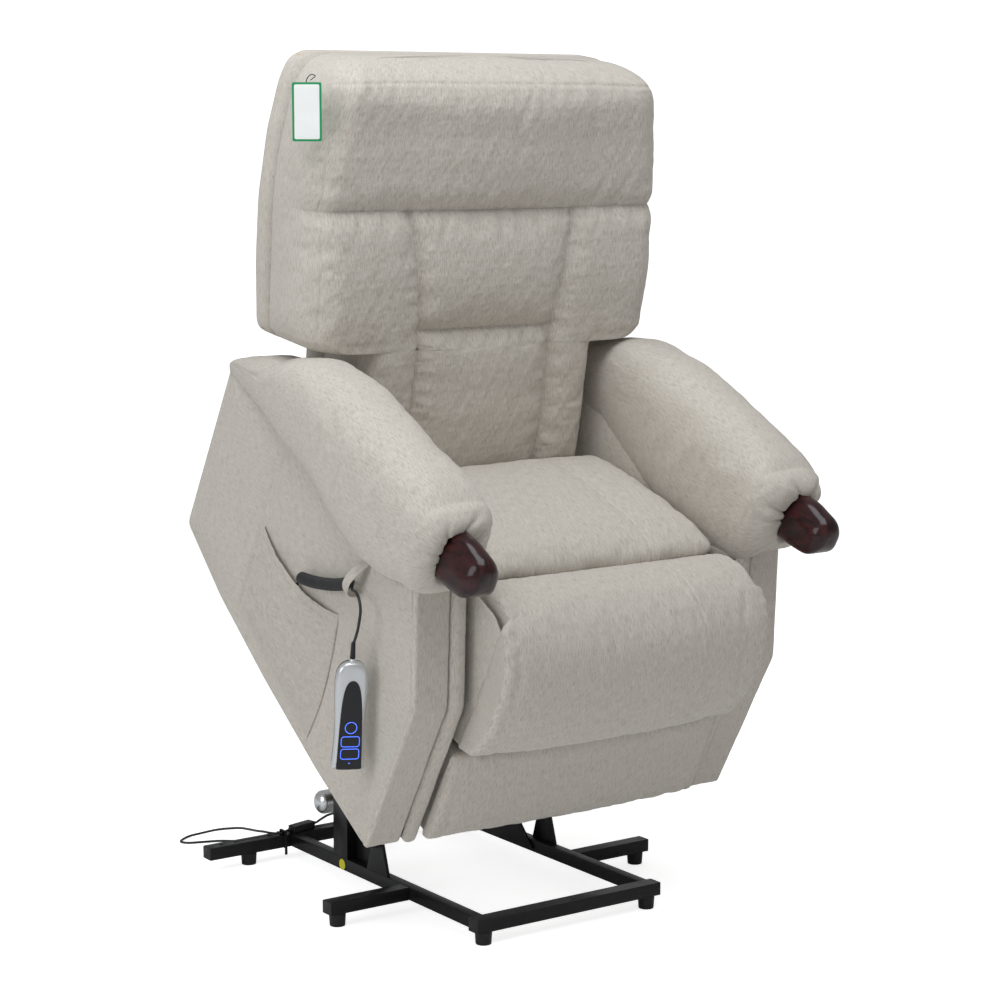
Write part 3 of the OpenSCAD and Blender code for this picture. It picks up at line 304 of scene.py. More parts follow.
# %% Surfaces
def faces_of(grid, flat, loop=True, poles=(True, True)):
    """Points, faces and each face corner's place on the flat map, from a grid of points."""
    rows, columns = grid.shape[:2]
    points, index = grid.reshape(-1, 3), np.arange(rows * columns).reshape(rows, columns)
    if loop:
        index = np.concatenate([index, index[:, :1]], 1)
    for end, wanted in zip((0, -1), poles):
        if wanted:
            points = np.concatenate([points, grid[end].mean(0)[None]])
            tip = np.full((1, index.shape[1]), len(points) - 1)
            index = np.concatenate([tip, index] if end == 0 else [index, tip])
            flat = np.concatenate([flat[:1], flat] if end == 0 else [flat, flat[-1:]])
    corners = [(slice(0, -1), slice(0, -1)), (slice(0, -1), slice(1, None)),
               (slice(1, None), slice(1, None)), (slice(1, None), slice(0, -1))]
    quads = np.stack([index[c] for c in corners], -1).reshape(-1, 4)
    places = np.stack([flat[c] for c in corners], -2).reshape(-1, 4, 2)
    top, low = quads[:, 0] == quads[:, 1], quads[:, 2] == quads[:, 3]
    whole = ~(top | low)
    sets = [(quads[whole], places[whole]), (quads[top][:, 1:], places[top][:, 1:]),
            (quads[low][:, :3], places[low][:, :3])]
    a, b, c = (points[quads[:, k]] for k in (0, 1, 2))
    a2, b2, c2 = (points[quads[:, k]] for k in (0, 2, 3))
    inside_out = (a * np.cross(b, c)).sum() + (a2 * np.cross(b2, c2)).sum() < 0
    if inside_out and (loop or any(poles)):
        sets = [(q[:, ::-1], p[:, ::-1]) for q, p in sets]
    faces = [row for q, _ in sets for row in q.tolist()]
    return points, faces, np.concatenate([p.reshape(-1, 2) for _, p in sets])


def piece(name, surface, finish, body, slot, *replaced):
    """A smooth mesh piece from a surface, riding on a body, that stands for CAD nodes."""
    points, faces, places = surface
    mesh = bpy.data.meshes.new(name)
    mesh.from_pydata(points.tolist(), [], faces)
    mesh.uv_layers.new(name="flat").data.foreach_set("uv", places.astype(np.float32).ravel())
    mesh.shade_smooth()
    mesh.materials.append(finish.material)
    made = in_scene(name, mesh)
    belongs(made, body, replaced)
    return made


def belongs(made, body, replaced):
    """Fixes a piece to a body and hides the CAD nodes it stands for."""
    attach(made, body)
    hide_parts(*replaced)


def flat_map(across, along):
    """A flat map from two grids of lengths in metres."""
    return stacked(across, along).astype(float)


def through(points, count, closed=False):
    """A smooth Catmull-Rom curve through points, with count points spaced evenly along it.

    Between b and c it is (2b + (c-a)t + (2a-5b+4c-d)t^2 + (3b-a-3c+d)t^3) / 2.
    """
    p = np.asarray(points, float)
    before, after = (p[-1:], p[:2]) if closed else (2 * p[:1] - p[1:2], 2 * p[-1:] - p[-2:-1])
    p = np.concatenate([before, p, after])
    t = np.linspace(0, 1, 32, endpoint=False)[:, None]
    a, b, c, d = (p[k : len(p) - 3 + k, None] for k in range(4))
    curve = 0.5 * (2 * b + (c - a) * t + (2 * a - 5 * b + 4 * c - d) * t**2 + (3 * b - a - 3 * c + d) * t**3)
    curve = np.concatenate([curve.reshape(-1, p.shape[1]), p[-2:-1]])
    far = lengths(curve)
    at = np.linspace(0, far[-1], count, endpoint=not closed)
    return np.stack([np.interp(at, far, curve[:, k]) for k in range(p.shape[1])], -1)


def lengths(line, closed=False):
    """Distance along a line at each of its points, and once more at its start if it is closed."""
    if closed:
        line = np.concatenate([line, line[:1]])
    return np.concatenate([[0], np.cumsum(np.linalg.norm(np.diff(line, axis=0), axis=1))])


# %% [markdown]
# ## Rubber for the cords
# Cord jackets are soft black PVC: nearly matt, with a little dust and a
# slightly uneven skin that catches the light in short patches.

# %% Cord finish
def cord_rubber():
    f = Finish("cord_rubber", (0.015, 0.015, 0.016), 0.5)
    dust = f.noise(f.place(), 60.0, 4.0).ramp(0.45, 0.75)
    f.feed(Base_Color=f.mix(dust * 0.5, (0.014, 0.014, 0.015), (0.035, 0.034, 0.033)),
              Roughness=dust * 0.2 + 0.42,
              Normal=f.bump(f.noise(f.place(), 900.0), 0.00015, 0.5))
    return f


rubber = cord_rubber()

# %% [markdown]
# ## Cords
# Two cords leave the chair. The handset's runs out of the side pocket as a
# curly cord, through a strap, and hangs down to the handset. The power cord
# comes from the lift actuator's gearbox to an inline connector on the rear
# bar, and on over the floor to its adaptor, with the spare length wound in a
# neat coil behind the chair. A cord is a curve with a round bevel, because
# its centreline is then exactly what is measured.

# %% Cord curves
def cord(name, route, diameter, body, replaced):
    """A round cord along a route of points in metres."""
    curve = bpy.data.curves.new(name, "CURVE")
    curve.dimensions, curve.bevel_depth, curve.bevel_resolution = "3D", diameter / 2, 3
    curve.use_fill_caps = True
    spline = curve.splines.new("POLY")
    spline.points.add(len(route) - 1)
    spline.points.foreach_set("co", np.column_stack([route, np.ones(len(route))]).ravel())
    spline.use_smooth = True
    made = in_scene(name, curve)
    curve.materials.append(rubber.material)
    belongs(made, body, replaced)


# %% Handset's curly cord
WIRE_D, CURLS, CURL_R, CURL_X = 5.0, 25, 10.6, -394
curl_guide = through([[362, 290], [340, 301], [318, 314], [297, 328], [276, 343], [256, 359],
                      [238, 376]], 601)


def curly_route():
    """A straight tail out of the pocket, a helix about the guide curve, and a straight end in the strap."""
    s = np.linspace(0, 1, CURLS * 26 + 1)
    at = np.stack([np.interp(s * 600, np.arange(601), curl_guide[:, k]) for k in (0, 1)], -1)
    way = np.gradient(at, axis=0)
    way /= np.linalg.norm(way, axis=1, keepdims=True)
    a, r = 2 * np.pi * CURLS * s, CURL_R - WIRE_D / 2
    helix = stacked(CURL_X + r * np.cos(a), at[:, 0] - way[:, 1] * r * np.sin(a),
                      at[:, 1] + way[:, 0] * r * np.sin(a))
    tail = through([[-384, 392, 190], [-384, 386, 225], [-384, 381, 250], [-384.5, 377, 268],
        [-386, 372, 281], helix[0]], 60)
    end = through([helix[-1], [-389, 231, 384], [-396, 223, 388.5], [-401, 216, 388],
                   [-403.7, 210.7, 387.1]], 40)
    return on_chair(np.concatenate([tail[:-1], helix, end[1:]]))


cord("curly_cord", curly_route(), WIRE_D * MM, "seat_unit", ["handset_curly_cord"])

# %% Lead down to the handset
relief_at = np.array([0, 7.1, 18.0])
lead_points = on_floor([[-405, -281, 625], [-407, -296, 624], [-412, -314, 615], [-416, -324, 598],
                        [-419, -321, 570], [-419, -311, 550]])
lead = through([*lead_points, on_handset(relief_at + (0, 0, 7)), on_handset(relief_at)], 90)
cord("lead", lead, WIRE_D * MM, "handset", ["handset_lead"])

# %% Power cord, with its stored coil
CORD_D, CORD_Z, COIL_R, COIL_TURNS = 4.5, 2.4, 36, 4
JOINT_AT, JOINT_TURN, JOINT_HALF, JOINT_Z = (-154, 318.5), np.radians(14), 34, 46.3


def joint_point(along):
    return [JOINT_AT[0] + along * np.cos(JOINT_TURN), JOINT_AT[1] + along * np.sin(JOINT_TURN), JOINT_Z + 6.5]


COIL_AT = (184, 450)


def coil_route():
    """A flat spiral in, a climb of one diameter, and a spiral out on top of it."""
    total, step = 2 * COIL_TURNS + 0.5, CORD_D + 0.7
    t = np.linspace(0, total, int(total * 40) + 1)
    radius = COIL_R - step * np.minimum(t, total - t)
    climb = unit((t - COIL_TURNS) / 0.5)
    a = np.radians(270) + 2 * np.pi * t
    return stacked(COIL_AT[0] + radius * np.cos(a), COIL_AT[1] + radius * np.sin(a),
                     CORD_Z + step * climb**2 * (3 - 2 * climb))


coil = coil_route()
coil_exit = coil[-1] + (-COIL_R - 7, 0, 0)
feed = on_floor(through([[-44, 285, 78], [-56, 288, 76.5], [-78, 298, 74], [-95, 316, 67], [-106, 328, 57],
    joint_point(JOINT_HALF + 6), joint_point(JOINT_HALF)], 90))
floor_run = through([joint_point(-JOINT_HALF), joint_point(-JOINT_HALF - 5), [-199, 310.5, 49.4],
    [-212, 314.5, 49.6], [-220, 326, 49.4], [-222, 345, 47.5], [-221, 372, 42.5], [-217, 410, 36],
    [-213, 452, 28], [-222, 488, 20], [-234, 514, 13], [-255, 529, 7], [-279, 533, 4], [-300, 524, CORD_Z],
    [-309, 511, CORD_Z], [-300, 497, CORD_Z], [-272, 486, CORD_Z], [-243, 474, CORD_Z], [-205, 446, CORD_Z],
    [-150, 422, CORD_Z], [-60, 414, CORD_Z], [60, 414, CORD_Z], [130, 414, CORD_Z], [180, 414, CORD_Z]], 420)
main = on_floor(np.concatenate([floor_run, coil, [coil[-1] + (-CORD_D, 0, 0), coil_exit]]))
cord("power_feed", feed, CORD_D * MM, "base", ["power_cord"])
cord("power_main", main, CORD_D * MM, "base", ["power_cord", "power_coil"])

# %% [markdown]
# ## Cover cloth
# The cover is a slubby linen-look weave in a warm greige. Its long yarns run
# up the chair, and where a yarn thickens or a darker fibre was spun in, it
# shows as a fine upright fleck, a centimetre or two long. Each piece's flat
# map is in metres, so the weave is the same size on every cushion and turns
# with it. Flecks are noise stretched thirteen times along the yarn, and the
# broader ones twenty times; pale ones run across. The weave itself is a sine
# across times a sine along, as fine bump.

# %% Cover cloth
# Radians in a metre: a yarn every 1.5 mm across and every 1.8 mm along.
WEAVE_ACROSS, WEAVE_ALONG = 4189.0, 3491.0
CLOTH_TINTS = (0.585, 0.54, 0.48), (0.562, 0.517, 0.456), (0.25, 0.195, 0.145), (0.7, 0.665, 0.615)


def cover_cloth(name, shade=1.0):
    f = Finish(name, (0.5, 0.46, 0.41), 0.92)
    flat = f.place(kind="UV")
    flecks = f.noise(f.place((1, 0.075, 1), "UV"), 900.0, 2.0, 0.7).ramp(0.44, 0.66)
    broad_flecks = f.noise(f.place((1, 0.05, 1), "UV"), 480.0, 2.0, 0.6).ramp(0.56, 0.72)
    cross_flecks = f.noise(f.place((0.2, 1, 1), "UV"), 800.0, 2.0).ramp(0.4, 0.66)
    mottle = f.noise(flat, 60.0, 2.0).ramp(0.3, 0.7)
    across, along = (f.node("ShaderNodeSeparateXYZ", {0: flat}, output=axis) for axis in (0, 1))
    weave = (across * WEAVE_ACROSS).maths("SINE") * (along * WEAVE_ALONG).maths("SINE")
    # shade below one darkens every tint of the cloth: painted shade, for a copy of the cloth that stands in
    # shadow.
    light, dark, fleck, pale = (tuple(c * shade for c in tint) for tint in CLOTH_TINTS)
    base = f.mix(mottle, dark, light)
    base = f.mix(broad_flecks * 0.2, base, fleck)
    base = f.mix(cross_flecks * 0.35, base, pale)
    base = f.mix(flecks * 0.4, base, fleck)
    height = weave * 0.35 + f.noise(flat, 1500.0, 2.0) * 0.5 + flecks * 0.2 + broad_flecks * 0.1
    f.feed(Base_Color=base, Normal=f.bump(height, 0.0004, 0.55), Sheen_Weight=0.18, Sheen_Roughness=0.5,
           Specular_IOR_Level=0.25)
    return f


cloth = cover_cloth("cover_cloth")
# The pocket and the strap get the same cover cloth painted five percent darker: painted shade, not a different
# cloth.
painted_shade_cloth = cover_cloth("pocket_cloth", 0.95)


def padded(name, surface, body, node):
    """A cushion or pad in the cover cloth."""
    piece(name, surface, cloth, body, "cover_fabric", node)


# %% [markdown]
# ## Metals, plastics and wood
# The base is satin black powder coat, which has a faint orange-peel skin.
# Pins and brackets are bright zinc. Housings are moulded plastic with a
# fine spark texture. The carved arm ends are mahogany-stained wood under a
# gloss lacquer, so their grain is dark on dark with a clear coat on top.

# %% Hard finishes
def powder_coat():
    f = Finish("black_powder_coat", (0.02, 0.02, 0.022), 0.4)
    peel, dust = f.noise(f.place(), 420.0, 2.0), f.noise(f.place(), 14.0, 5.0).ramp(0.5, 0.8)
    f.feed(Base_Color=f.mix(dust * 0.4, (0.008, 0.008, 0.009), (0.025, 0.024, 0.023)),
              Roughness=dust * 0.22 + peel * 0.12 + 0.3, Normal=f.bump(peel, 0.0003, 0.35),
           Specular_IOR_Level=0.28)
    return f


def bright_zinc():
    f = Finish("bright_zinc", (0.66, 0.68, 0.7), 0.3, Metallic=1.0)
    spangle = f.node("ShaderNodeTexVoronoi", {"Vector": f.place(), "Scale": 180.0})
    tarnish = f.noise(f.place(), 40.0, 4.0).ramp(0.4, 0.75)
    f.feed(Base_Color=f.mix(tarnish, (0.7, 0.72, 0.74), (0.5, 0.5, 0.49)),
              Roughness=spangle * 0.15 + tarnish * 0.2 + 0.2)
    return f


def moulded_plastic(name, colour, roughness, dusty=0.3):
    f = Finish(name, colour, roughness)
    grain, dust = f.noise(f.place(), 1600.0, 2.0), f.noise(f.place(), 25.0, 4.0).ramp(0.5, 0.8)
    lighter = tuple(min(1.0, c * 1.25 + 0.02) for c in colour)
    f.feed(Base_Color=f.mix(dust * dusty, colour, lighter),
              Roughness=dust * 0.12 + grain * 0.08 + (roughness - 0.05),
              Normal=f.bump(grain, 0.0001, 0.4), Specular_IOR_Level=0.35)
    return f


def drawn_can():
    f = Finish("drawn_can", (0.75, 0.76, 0.77), 0.28, Metallic=1.0)
    draw_lines = f.noise(f.place((18.0, 1.0, 1.0)), 90.0, 3.0)
    f.feed(Base_Color=f.mix(draw_lines.ramp(0.3, 0.7), (0.68, 0.69, 0.7), (0.82, 0.83, 0.84)),
              Roughness=draw_lines * 0.25 + 0.16)
    return f


def planed_timber():
    f = Finish("planed_timber", (0.55, 0.38, 0.22), 0.6)
    rings = f.noise(f.place((0.6, 6.0, 6.0)), 9.0, 4.0, 0.6)
    f.feed(Base_Color=f.mix(rings.ramp(0.35, 0.65), (0.6, 0.43, 0.26), (0.42, 0.27, 0.14)),
              Roughness=rings * 0.2 + 0.5, Normal=f.bump(rings, 0.0005, 0.3))
    return f


def stained_mahogany():
    f = Finish("stained_mahogany", (0.03, 0.008, 0.008), 0.3, Coat_Weight=0.55)
    f.feed(Coat_Roughness=0.06, Coat_IOR=1.4, Specular_IOR_Level=0.2)
    grain = f.noise(f.place((1.0, 0.12, 0.35)), 160.0, 4.0, 0.65)
    pores = f.noise(f.place((1.0, 0.05, 0.2)), 600.0, 2.0).ramp(0.6, 0.75)
    stain = f.mix(grain.ramp(0.35, 0.7), (0.008, 0.0015, 0.002), (0.045, 0.006, 0.007))
    f.feed(Base_Color=f.mix(pores * 0.6, stain, (0.005, 0.002, 0.002)),
              Roughness=grain * 0.2 + 0.22)
    return f


powder, zinc, can = powder_coat(), bright_zinc(), drawn_can()
timber, mahogany = planed_timber(), stained_mahogany()
matte_black = moulded_plastic("matte_black", (0.016, 0.016, 0.017), 0.5)
glide_black = moulded_plastic("glide_black", (0.013, 0.013, 0.014), 0.42)
pale_grey = moulded_plastic("pale_grey", (0.6, 0.61, 0.57), 0.45)
silver = moulded_plastic("silver_paint", (0.6, 0.61, 0.62), 0.3, 0.1)
silver.feed(Metallic=0.55, Coat_Weight=0.3)
gloss_black = moulded_plastic("gloss_black", (0.01, 0.01, 0.012), 0.15, 0.05)
dot_yellow = moulded_plastic("dot_yellow", (0.72, 0.66, 0.03), 0.6)

# %% [markdown]
# ## Softened edges for the hard parts
# Real tube, plate and moulding never has a perfectly sharp edge, and the
# thin line of light along an edge is what makes it read as solid. The CAD
# mesh itself stays untouched: a copy of it is merged, its flat faces are
# joined, and a Bevel modifier rounds every edge sharper than 35 degrees.

# %% Softened copies
def softened(node, finish, width):
    """A copy of a CAD node with its edges rounded to a width in millimetres."""
    source = nodes[node]
    mesh = source.data.copy()
    work = bmesh.new()
    work.from_mesh(mesh)
    bmesh.ops.remove_doubles(work, verts=work.verts, dist=2e-5)
    bmesh.ops.dissolve_limit(work, angle_limit=np.radians(0.5), verts=work.verts, edges=work.edges,
        delimit={"NORMAL"})
    bmesh.ops.recalc_face_normals(work, faces=work.faces)
    work.to_mesh(mesh)
    work.free()
    mesh.materials.clear()
    mesh.materials.append(finish.material)
    mesh.shade_smooth()
    made = in_scene(node + "_soft", mesh)
    bevel = made.modifiers.new("edges", "BEVEL")
    bevel.width, bevel.segments = width * MM, 2
    bevel.limit_method, bevel.angle_limit = "ANGLE", np.radians(35)
    bevel.harden_normals, bevel.use_clamp_overlap = True, True
    belongs(made, source["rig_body"], [node])


soft_edges = [
    (powder, "black_steel",
     {"base_rails": 1.6, "base_cross_bars": 1.6, "base_outriggers": 1.6, "base_posts": 1.6,
      "base_brackets": 0.5, "lift_frame": 0.7, "front_links": 0.6, "chassis_side_plates": 0.5,
      "chassis_cross_rails": 1.2, "back_brackets": 0.5, "legrest_side_plates": 0.4, "legrest_torque_tube": 0.4,
      "legrest_hinge_brackets": 0.4, "legrest_rods": 0.4}),
    (matte_black, "black_plastic", {"base_end_caps": 0.8}),
    (glide_black, "black_plastic", {"base_glides": 1.2}),
    (zinc, "zinc_steel", {"base_pins": 0.6, "chassis_pins": 0.6}),
    (matte_black, "black_plastic",
     {"cable_tie": 0.3, "control_box": 2.0, "inline_connector": 1.2, "power_adaptor": 2.5}),
    (pale_grey, "grey_plastic", {"lift_actuator_gearbox": 1.8}),
    (matte_black, "black_plastic", {"recline_actuator": 1.5}),
    (timber, "timber",
     {"timber_rails": 1.5, "seat_side_rails": 1.5, "back_board": 1.0, "legrest_board": 1.0}),
]
plain_finish = [(can, ("lift_actuator_motor", "lift_actuator_tube")),
                (zinc, ("lift_actuator_rod", "recline_rod", "seat_springs")), (dot_yellow, ("rail_dot",))]
for finish, slot, widths in soft_edges:
    for node, width in widths.items():
        softened(node, finish, width)
for finish, names in plain_finish:
    for node in names:
        nodes[node].data.materials.clear()
        nodes[node].data.materials.append(finish.material)

# %% [markdown]
# ## Stuffed forms
# A seat or a legrest pad is an outline seen from the side, carried across
# the chair. Towards each end the outline shrinks inwards along its own
# normals by a quarter circle, so the end is a rounded boxed edge and not a
# cut. The end wall is more of the same, drawn in to a point. Extra pushes
# along the normals are then added as formulas: crown, seams and gathers.

# %% Cushion across the chair
def outline_normals(line, closed=True):
    """Unit normals of a flat line of points, pointing to its outer side."""
    way = np.roll(line, -1, 0) - np.roll(line, 1, 0) if closed else np.gradient(line, axis=0)
    way /= np.linalg.norm(way, axis=1, keepdims=True)
    turning = np.sum(line[:, 0] * np.roll(line[:, 1], -1) - line[:, 1] * np.roll(line[:, 0], -1))
    return stacked(way[:, 1], -way[:, 0]) * np.sign(turning)


def wave_noise(u, v, seed, scale, octaves=4):
    """Smooth repeatable unevenness from -1 to 1: a sum of tilted sine waves of many lengths."""
    rng = np.random.default_rng(seed)
    total, reach = 0, 0
    for k in range(octaves * 5):
        size = scale * 0.72 ** (k / 1.7)
        turn, shift, tall = rng.uniform(0, np.pi * 2), rng.uniform(0, np.pi * 2), 0.8 ** (k / 2)
        total = total + tall * np.sin((u * np.cos(turn) + v * np.sin(turn)) * 2 * np.pi / size + shift)
        reach += tall * 0.5
    return total / reach


# %% [markdown]
# ## Letting the stuffing settle
# Formulas give a clean form, but stuffed cloth is never that clean. Each
# cushion is therefore blown up a little as cloth, with gravity off, for
# twenty frames: its skin is a few percent too large for its form, so it
# swells between the seams and buckles into small folds beside them. The
# seams are held, and no point may end further than a cap from where it
# began. The cloth is every fourth point of the grid each way. Its movement
# is spread over the full grid by cubic B-spline weights,
# (4 - 6d^2 + 3d^3) / 6 within one step and (2 - d)^3 / 6 within two.

# %% Cloth settling
def spread(count, step, loop):
    """Weights that carry values at every step-th of count places to all of them."""
    at, knots = np.arange(count)[:, None] / step, np.arange(0, count, step)[None] / step
    far = np.abs(at - knots)
    if loop:
        far = np.minimum(far, count / step - far)
    near = np.where(far < 1, (4 - 6 * far**2 + 3 * far**3) / 6, np.maximum(2 - far, 0) ** 3 / 6)
    return near / near.sum(1, keepdims=True)


STEP, PRESSURE, SURPLUS, FRAMES = 4, 3.0, 0.015, 20


def settled(grid, hold, cap):
    """A closed tube of points in millimetres, swollen as cloth.

    hold says how firmly each point is kept, 0 to 1, and cap is the furthest that one may move.
    """
    coarse, pins = grid[::STEP, ::STEP], unit(hold)[::STEP, ::STEP]
    flat = np.zeros((coarse.shape[0], coarse.shape[1] + 1, 2))
    points, faces, _ = faces_of(coarse * MM, flat)
    mesh = bpy.data.meshes.new("settling")
    mesh.from_pydata(points.tolist(), [], faces)
    skin, scene = in_scene("settling", mesh), bpy.context.scene
    seams, firm = skin.vertex_groups.new(name="seams"), np.round(np.append(pins.ravel(), [1, 1]), 1)
    for level in np.unique(firm[firm > 0]):
        seams.add(np.flatnonzero(firm == level).tolist(), float(level), "REPLACE")
    sewn = skin.modifiers.new("cloth", "CLOTH")
    s = sewn.settings
    s.quality, s.mass, s.air_damping = 5, 0.3, 2.0
    s.tension_stiffness = s.compression_stiffness = 15
    s.shear_stiffness, s.bending_stiffness = 5, 0.3
    s.use_pressure, s.uniform_pressure_force = True, PRESSURE
    s.shrink_min = s.shrink_max = -SURPLUS
    s.vertex_group_mass, s.pin_stiffness = "seams", 1.0
    s.effector_weights.gravity = 0
    sewn.collision_settings.use_collision = False
    sewn.point_cache.frame_start, sewn.point_cache.frame_end = 1, FRAMES
    for number in range(1, FRAMES + 1):
        scene.frame_set(number)
    swollen = skin.evaluated_get(bpy.context.evaluated_depsgraph_get())
    after = np.zeros(len(points) * 3)
    swollen.data.vertices.foreach_get("co", after)
    moved = (after.reshape(-1, 3)[:-2].reshape(coarse.shape) / MM - coarse)
    bpy.data.objects.remove(skin)
    bpy.data.meshes.remove(mesh)
    scene.frame_set(1)
    far = np.linalg.norm(moved, axis=-1, keepdims=True)
    moved *= cap * np.tanh(far / cap) / np.maximum(far, 1e-9)
    print("settled", coarse.shape[:2], "most", round(float(far.max()), 1), "mm, kept",
          round(float(np.linalg.norm(moved, axis=-1).max()), 1), "mm")
    rows, columns = spread(grid.shape[0], STEP, False), spread(grid.shape[1], STEP, True)
    return grid + np.einsum("rk,kjc,nj->rnc", rows, moved, columns)


def across_cushion(outline, width, edge, push, columns=84, around=260, wall=7, centre=None, at=0, widen=0,
                   hold=None, cap=6):
    """A cushion across the chair from a side outline in millimetres.

    The point at x across and s round the outline is outline(s) moved along
    its normal by push(x, s) less edge - sqrt(edge^2 - (edge - d)^2), where d
    is the distance from the cushion's end; the end walls are drawn in to a point.
    """
    line = outline if len(outline) > 100 else through(outline, around, closed=True)
    normal, far = outline_normals(line), lengths(line, closed=True)
    half = width / 2
    t = np.linspace(-1, 1, columns)
    x = half * np.sin(t * np.pi / 2) * 0.35 + half * t * 0.65
    d = np.clip(edge - (half - np.abs(x)), 0, edge)
    drawn = edge - np.sqrt(np.maximum(edge**2 - d**2, 0))
    out = push(x[:, None], line[None], far[None, :-1]) - drawn[:, None]
    moved = line[None] + normal[None] * out[..., None]
    middle = np.array(centre if centre is not None else line.mean(0))
    shrink = np.linspace(0, 1, wall + 1)[1:-1, None, None]
    first, last = moved[0] + (middle - moved[0]) * shrink, moved[-1] + (middle - moved[-1]) * shrink
    yz = np.concatenate([first[::-1], moved, last])
    xs = np.concatenate([np.full(wall - 1, -half), x, np.full(wall - 1, half)])[:, None]
    xs = xs + widen * (xs / half) ** 5 * unit((-1 - yz[..., 0]) / 8)
    grid = np.concatenate([(xs + at)[..., None], yz], -1)
    if hold:
        grid = settled(grid, hold(*np.moveaxis(grid, -1, 0)), cap)
    reach = np.concatenate([-half - 30 * np.arange(wall - 1, 0, -1), x, half + 30 * np.arange(1, wall)])
    flat = flat_map(reach[:, None] * MM, far[None, :] * MM)
    return faces_of(on_chair(grid), flat)


# %% [markdown]
# ## Seat cushion
# The seat is a foam block in a cloth boxing, crowned across its middle and
# rolled over at the front, where its cover runs down behind the legrest.
# Sitting has left it a little uneven, which comes from a sum of long waves.

# %% Seat
SEAT_Y, SEAT_L, SEAT_Z, SEAT_SEAM = 121, 363, 347, 108
seat_side = [[SEAT_Y + 4, SEAT_Z + 3], [SEAT_Y + 4, 375], [SEAT_Y + 3, 410], [SEAT_Y - 2, 440],
    [SEAT_Y - 7, 458], [SEAT_Y + 7, 473], [SEAT_Y + 59, 477], [SEAT_Y + 139, 466], [SEAT_Y + 219, 450],
    [SEAT_Y + 299, 428], [SEAT_Y + SEAT_L - 22, 410], [SEAT_Y + SEAT_L - 8, 396], [SEAT_Y + SEAT_L - 3, 372],
    [SEAT_Y + SEAT_L - 3, SEAT_Z + 3], [450, SEAT_Z + 1], [300, SEAT_Z + 1], [150, SEAT_Z + 1]]


def stitched(distance, deep=1.5):
    """A flat sewn seam: a narrow groove with its cloth standing a little proud on both sides."""
    return -deep * bell(distance, 1.7) + 0.35 * deep * bell(np.abs(distance) - 6, 4)


def seat_push(x, line, far):
    """A crown across the top, one sewn seam from front to back, and the unevenness of use."""
    top = unit((line[..., 1] - 390) / 50)
    crown = 11 * (1 - (x / 250) ** 2) * top
    pulls = 1.3 * wave_noise(x, far, 3, 160) * top + 0.5 * wave_noise(x * 2.2, far, 4, 60) * top
    return crown + pulls + stitched(x - SEAT_SEAM - 0.03 * (line[..., 0] - 120), 1.6) * top


def seat_hold(x, y, z):
    """The seat is held where it rests, at its two ends and along its seam."""
    return np.maximum(unit((415 - z) / 25), np.maximum(bell(x - SEAT_SEAM - 0.03 * (y - 120), 9),
        unit((np.abs(x) - 250) / 10)))


padded("seat_cushion_cover", across_cushion(seat_side, 522, 34, seat_push, columns=300, centre=(300, 400),
    hold=seat_hold, cap=5), "seat_unit", "seat_cushion")

# %% [markdown]
# ## Legrest
# The legrest is two stuffed pieces on one board. The upper pad is a fat roll
# that bellies out in the middle and sags at its lower edge. The lower panel
# is thinner and wider, and closes the front of the chair below the pad.

# %% Legrest pad and panel
pad_side = [[105, 462], [70, 482], [30, 488], [-12, 474], [-46, 441], [-66, 395], [-74, 340], [-71, 285],
    [-57, 241], [-30, 215], [8, 206], [34, 208], [50, 220], [52, 300], [52, 380], [54, 438], [84, 449]]


def legpad_push(x, line, far):
    """A belly across the front, fullest low down, with soft folds gathered in at the ends."""
    front = unit((30 - line[..., 0]) / 50)
    u = x / 254
    belly = 8 * (1 - u**2) * front
    low = unit((300 - line[..., 1]) / 90) * front
    end = unit((np.abs(u) - 0.93) / 0.07)
    folds = 1.7 * end * np.sin(line[..., 1] / 2.9 + 3 * wave_noise(line[..., 1], x * 0.2, 8, 120)) * front
    folds = folds + stitched(x - 112 - 22 * np.sin(unit((line[..., 1] - 205) / 280) * np.pi)) * unit(
        (90 - line[..., 0]) / 30)
    waves = 1.6 * wave_noise(x, far, 11, 240) * front + 0.8 * wave_noise(x, far * 1.3, 12, 90)
    return belly + folds + waves + 3 * low * (1 - u**2)


def legrest_hold(x, y, z):
    """The legrest's pieces are held on their board and at their two ends."""
    return np.maximum(unit((y - 5) / 20), unit((np.abs(x) - 245) / 12))


padded("legrest_pad_cover", across_cushion(pad_side, 508, 11, legpad_push, columns=300, centre=(10, 345),
    widen=16, hold=legrest_hold, cap=6), "legrest", "legrest_pad")
panel_side = [[-18, 197], [-26, 150], [-31, 90], [-28, 40], [-18, 17], [2, 15], [20, 17], [25, 34], [26, 80],
              [26, 122], [34, 134], [50, 142], [52, 170], [52, 195], [20, 198]]


def legpanel_push(x, line, far):
    """A slight belly, and long waves that run down the panel."""
    front = unit((10 - line[..., 0]) / 30)
    seam = stitched(x - 108 + 0.05 * (197 - line[..., 1]))
    return (5 * (1 - (x / 270) ** 2) + 1.5 * wave_noise(x, far * 0.4, 21, 150) + seam) * front


padded("legrest_panel_cover", across_cushion(panel_side, 540, 12, legpanel_push, columns=300,
    centre=(12, 105), widen=7, hold=legrest_hold, cap=3), "legrest", "legrest_panel")

# %% [markdown]
# ## Back
# The back is one tall cushion: a padded headrest above a cross seam, and
# below it a middle part between two sewn channels, with a wing on each side
# that stands over the arms. A row of the surface is the cushion's section
# at one height: the front, which carries all the sewing, then the sides and
# the rear. The rows follow the cushion's outline as seen from the front, so
# they crowd together where the wings start.

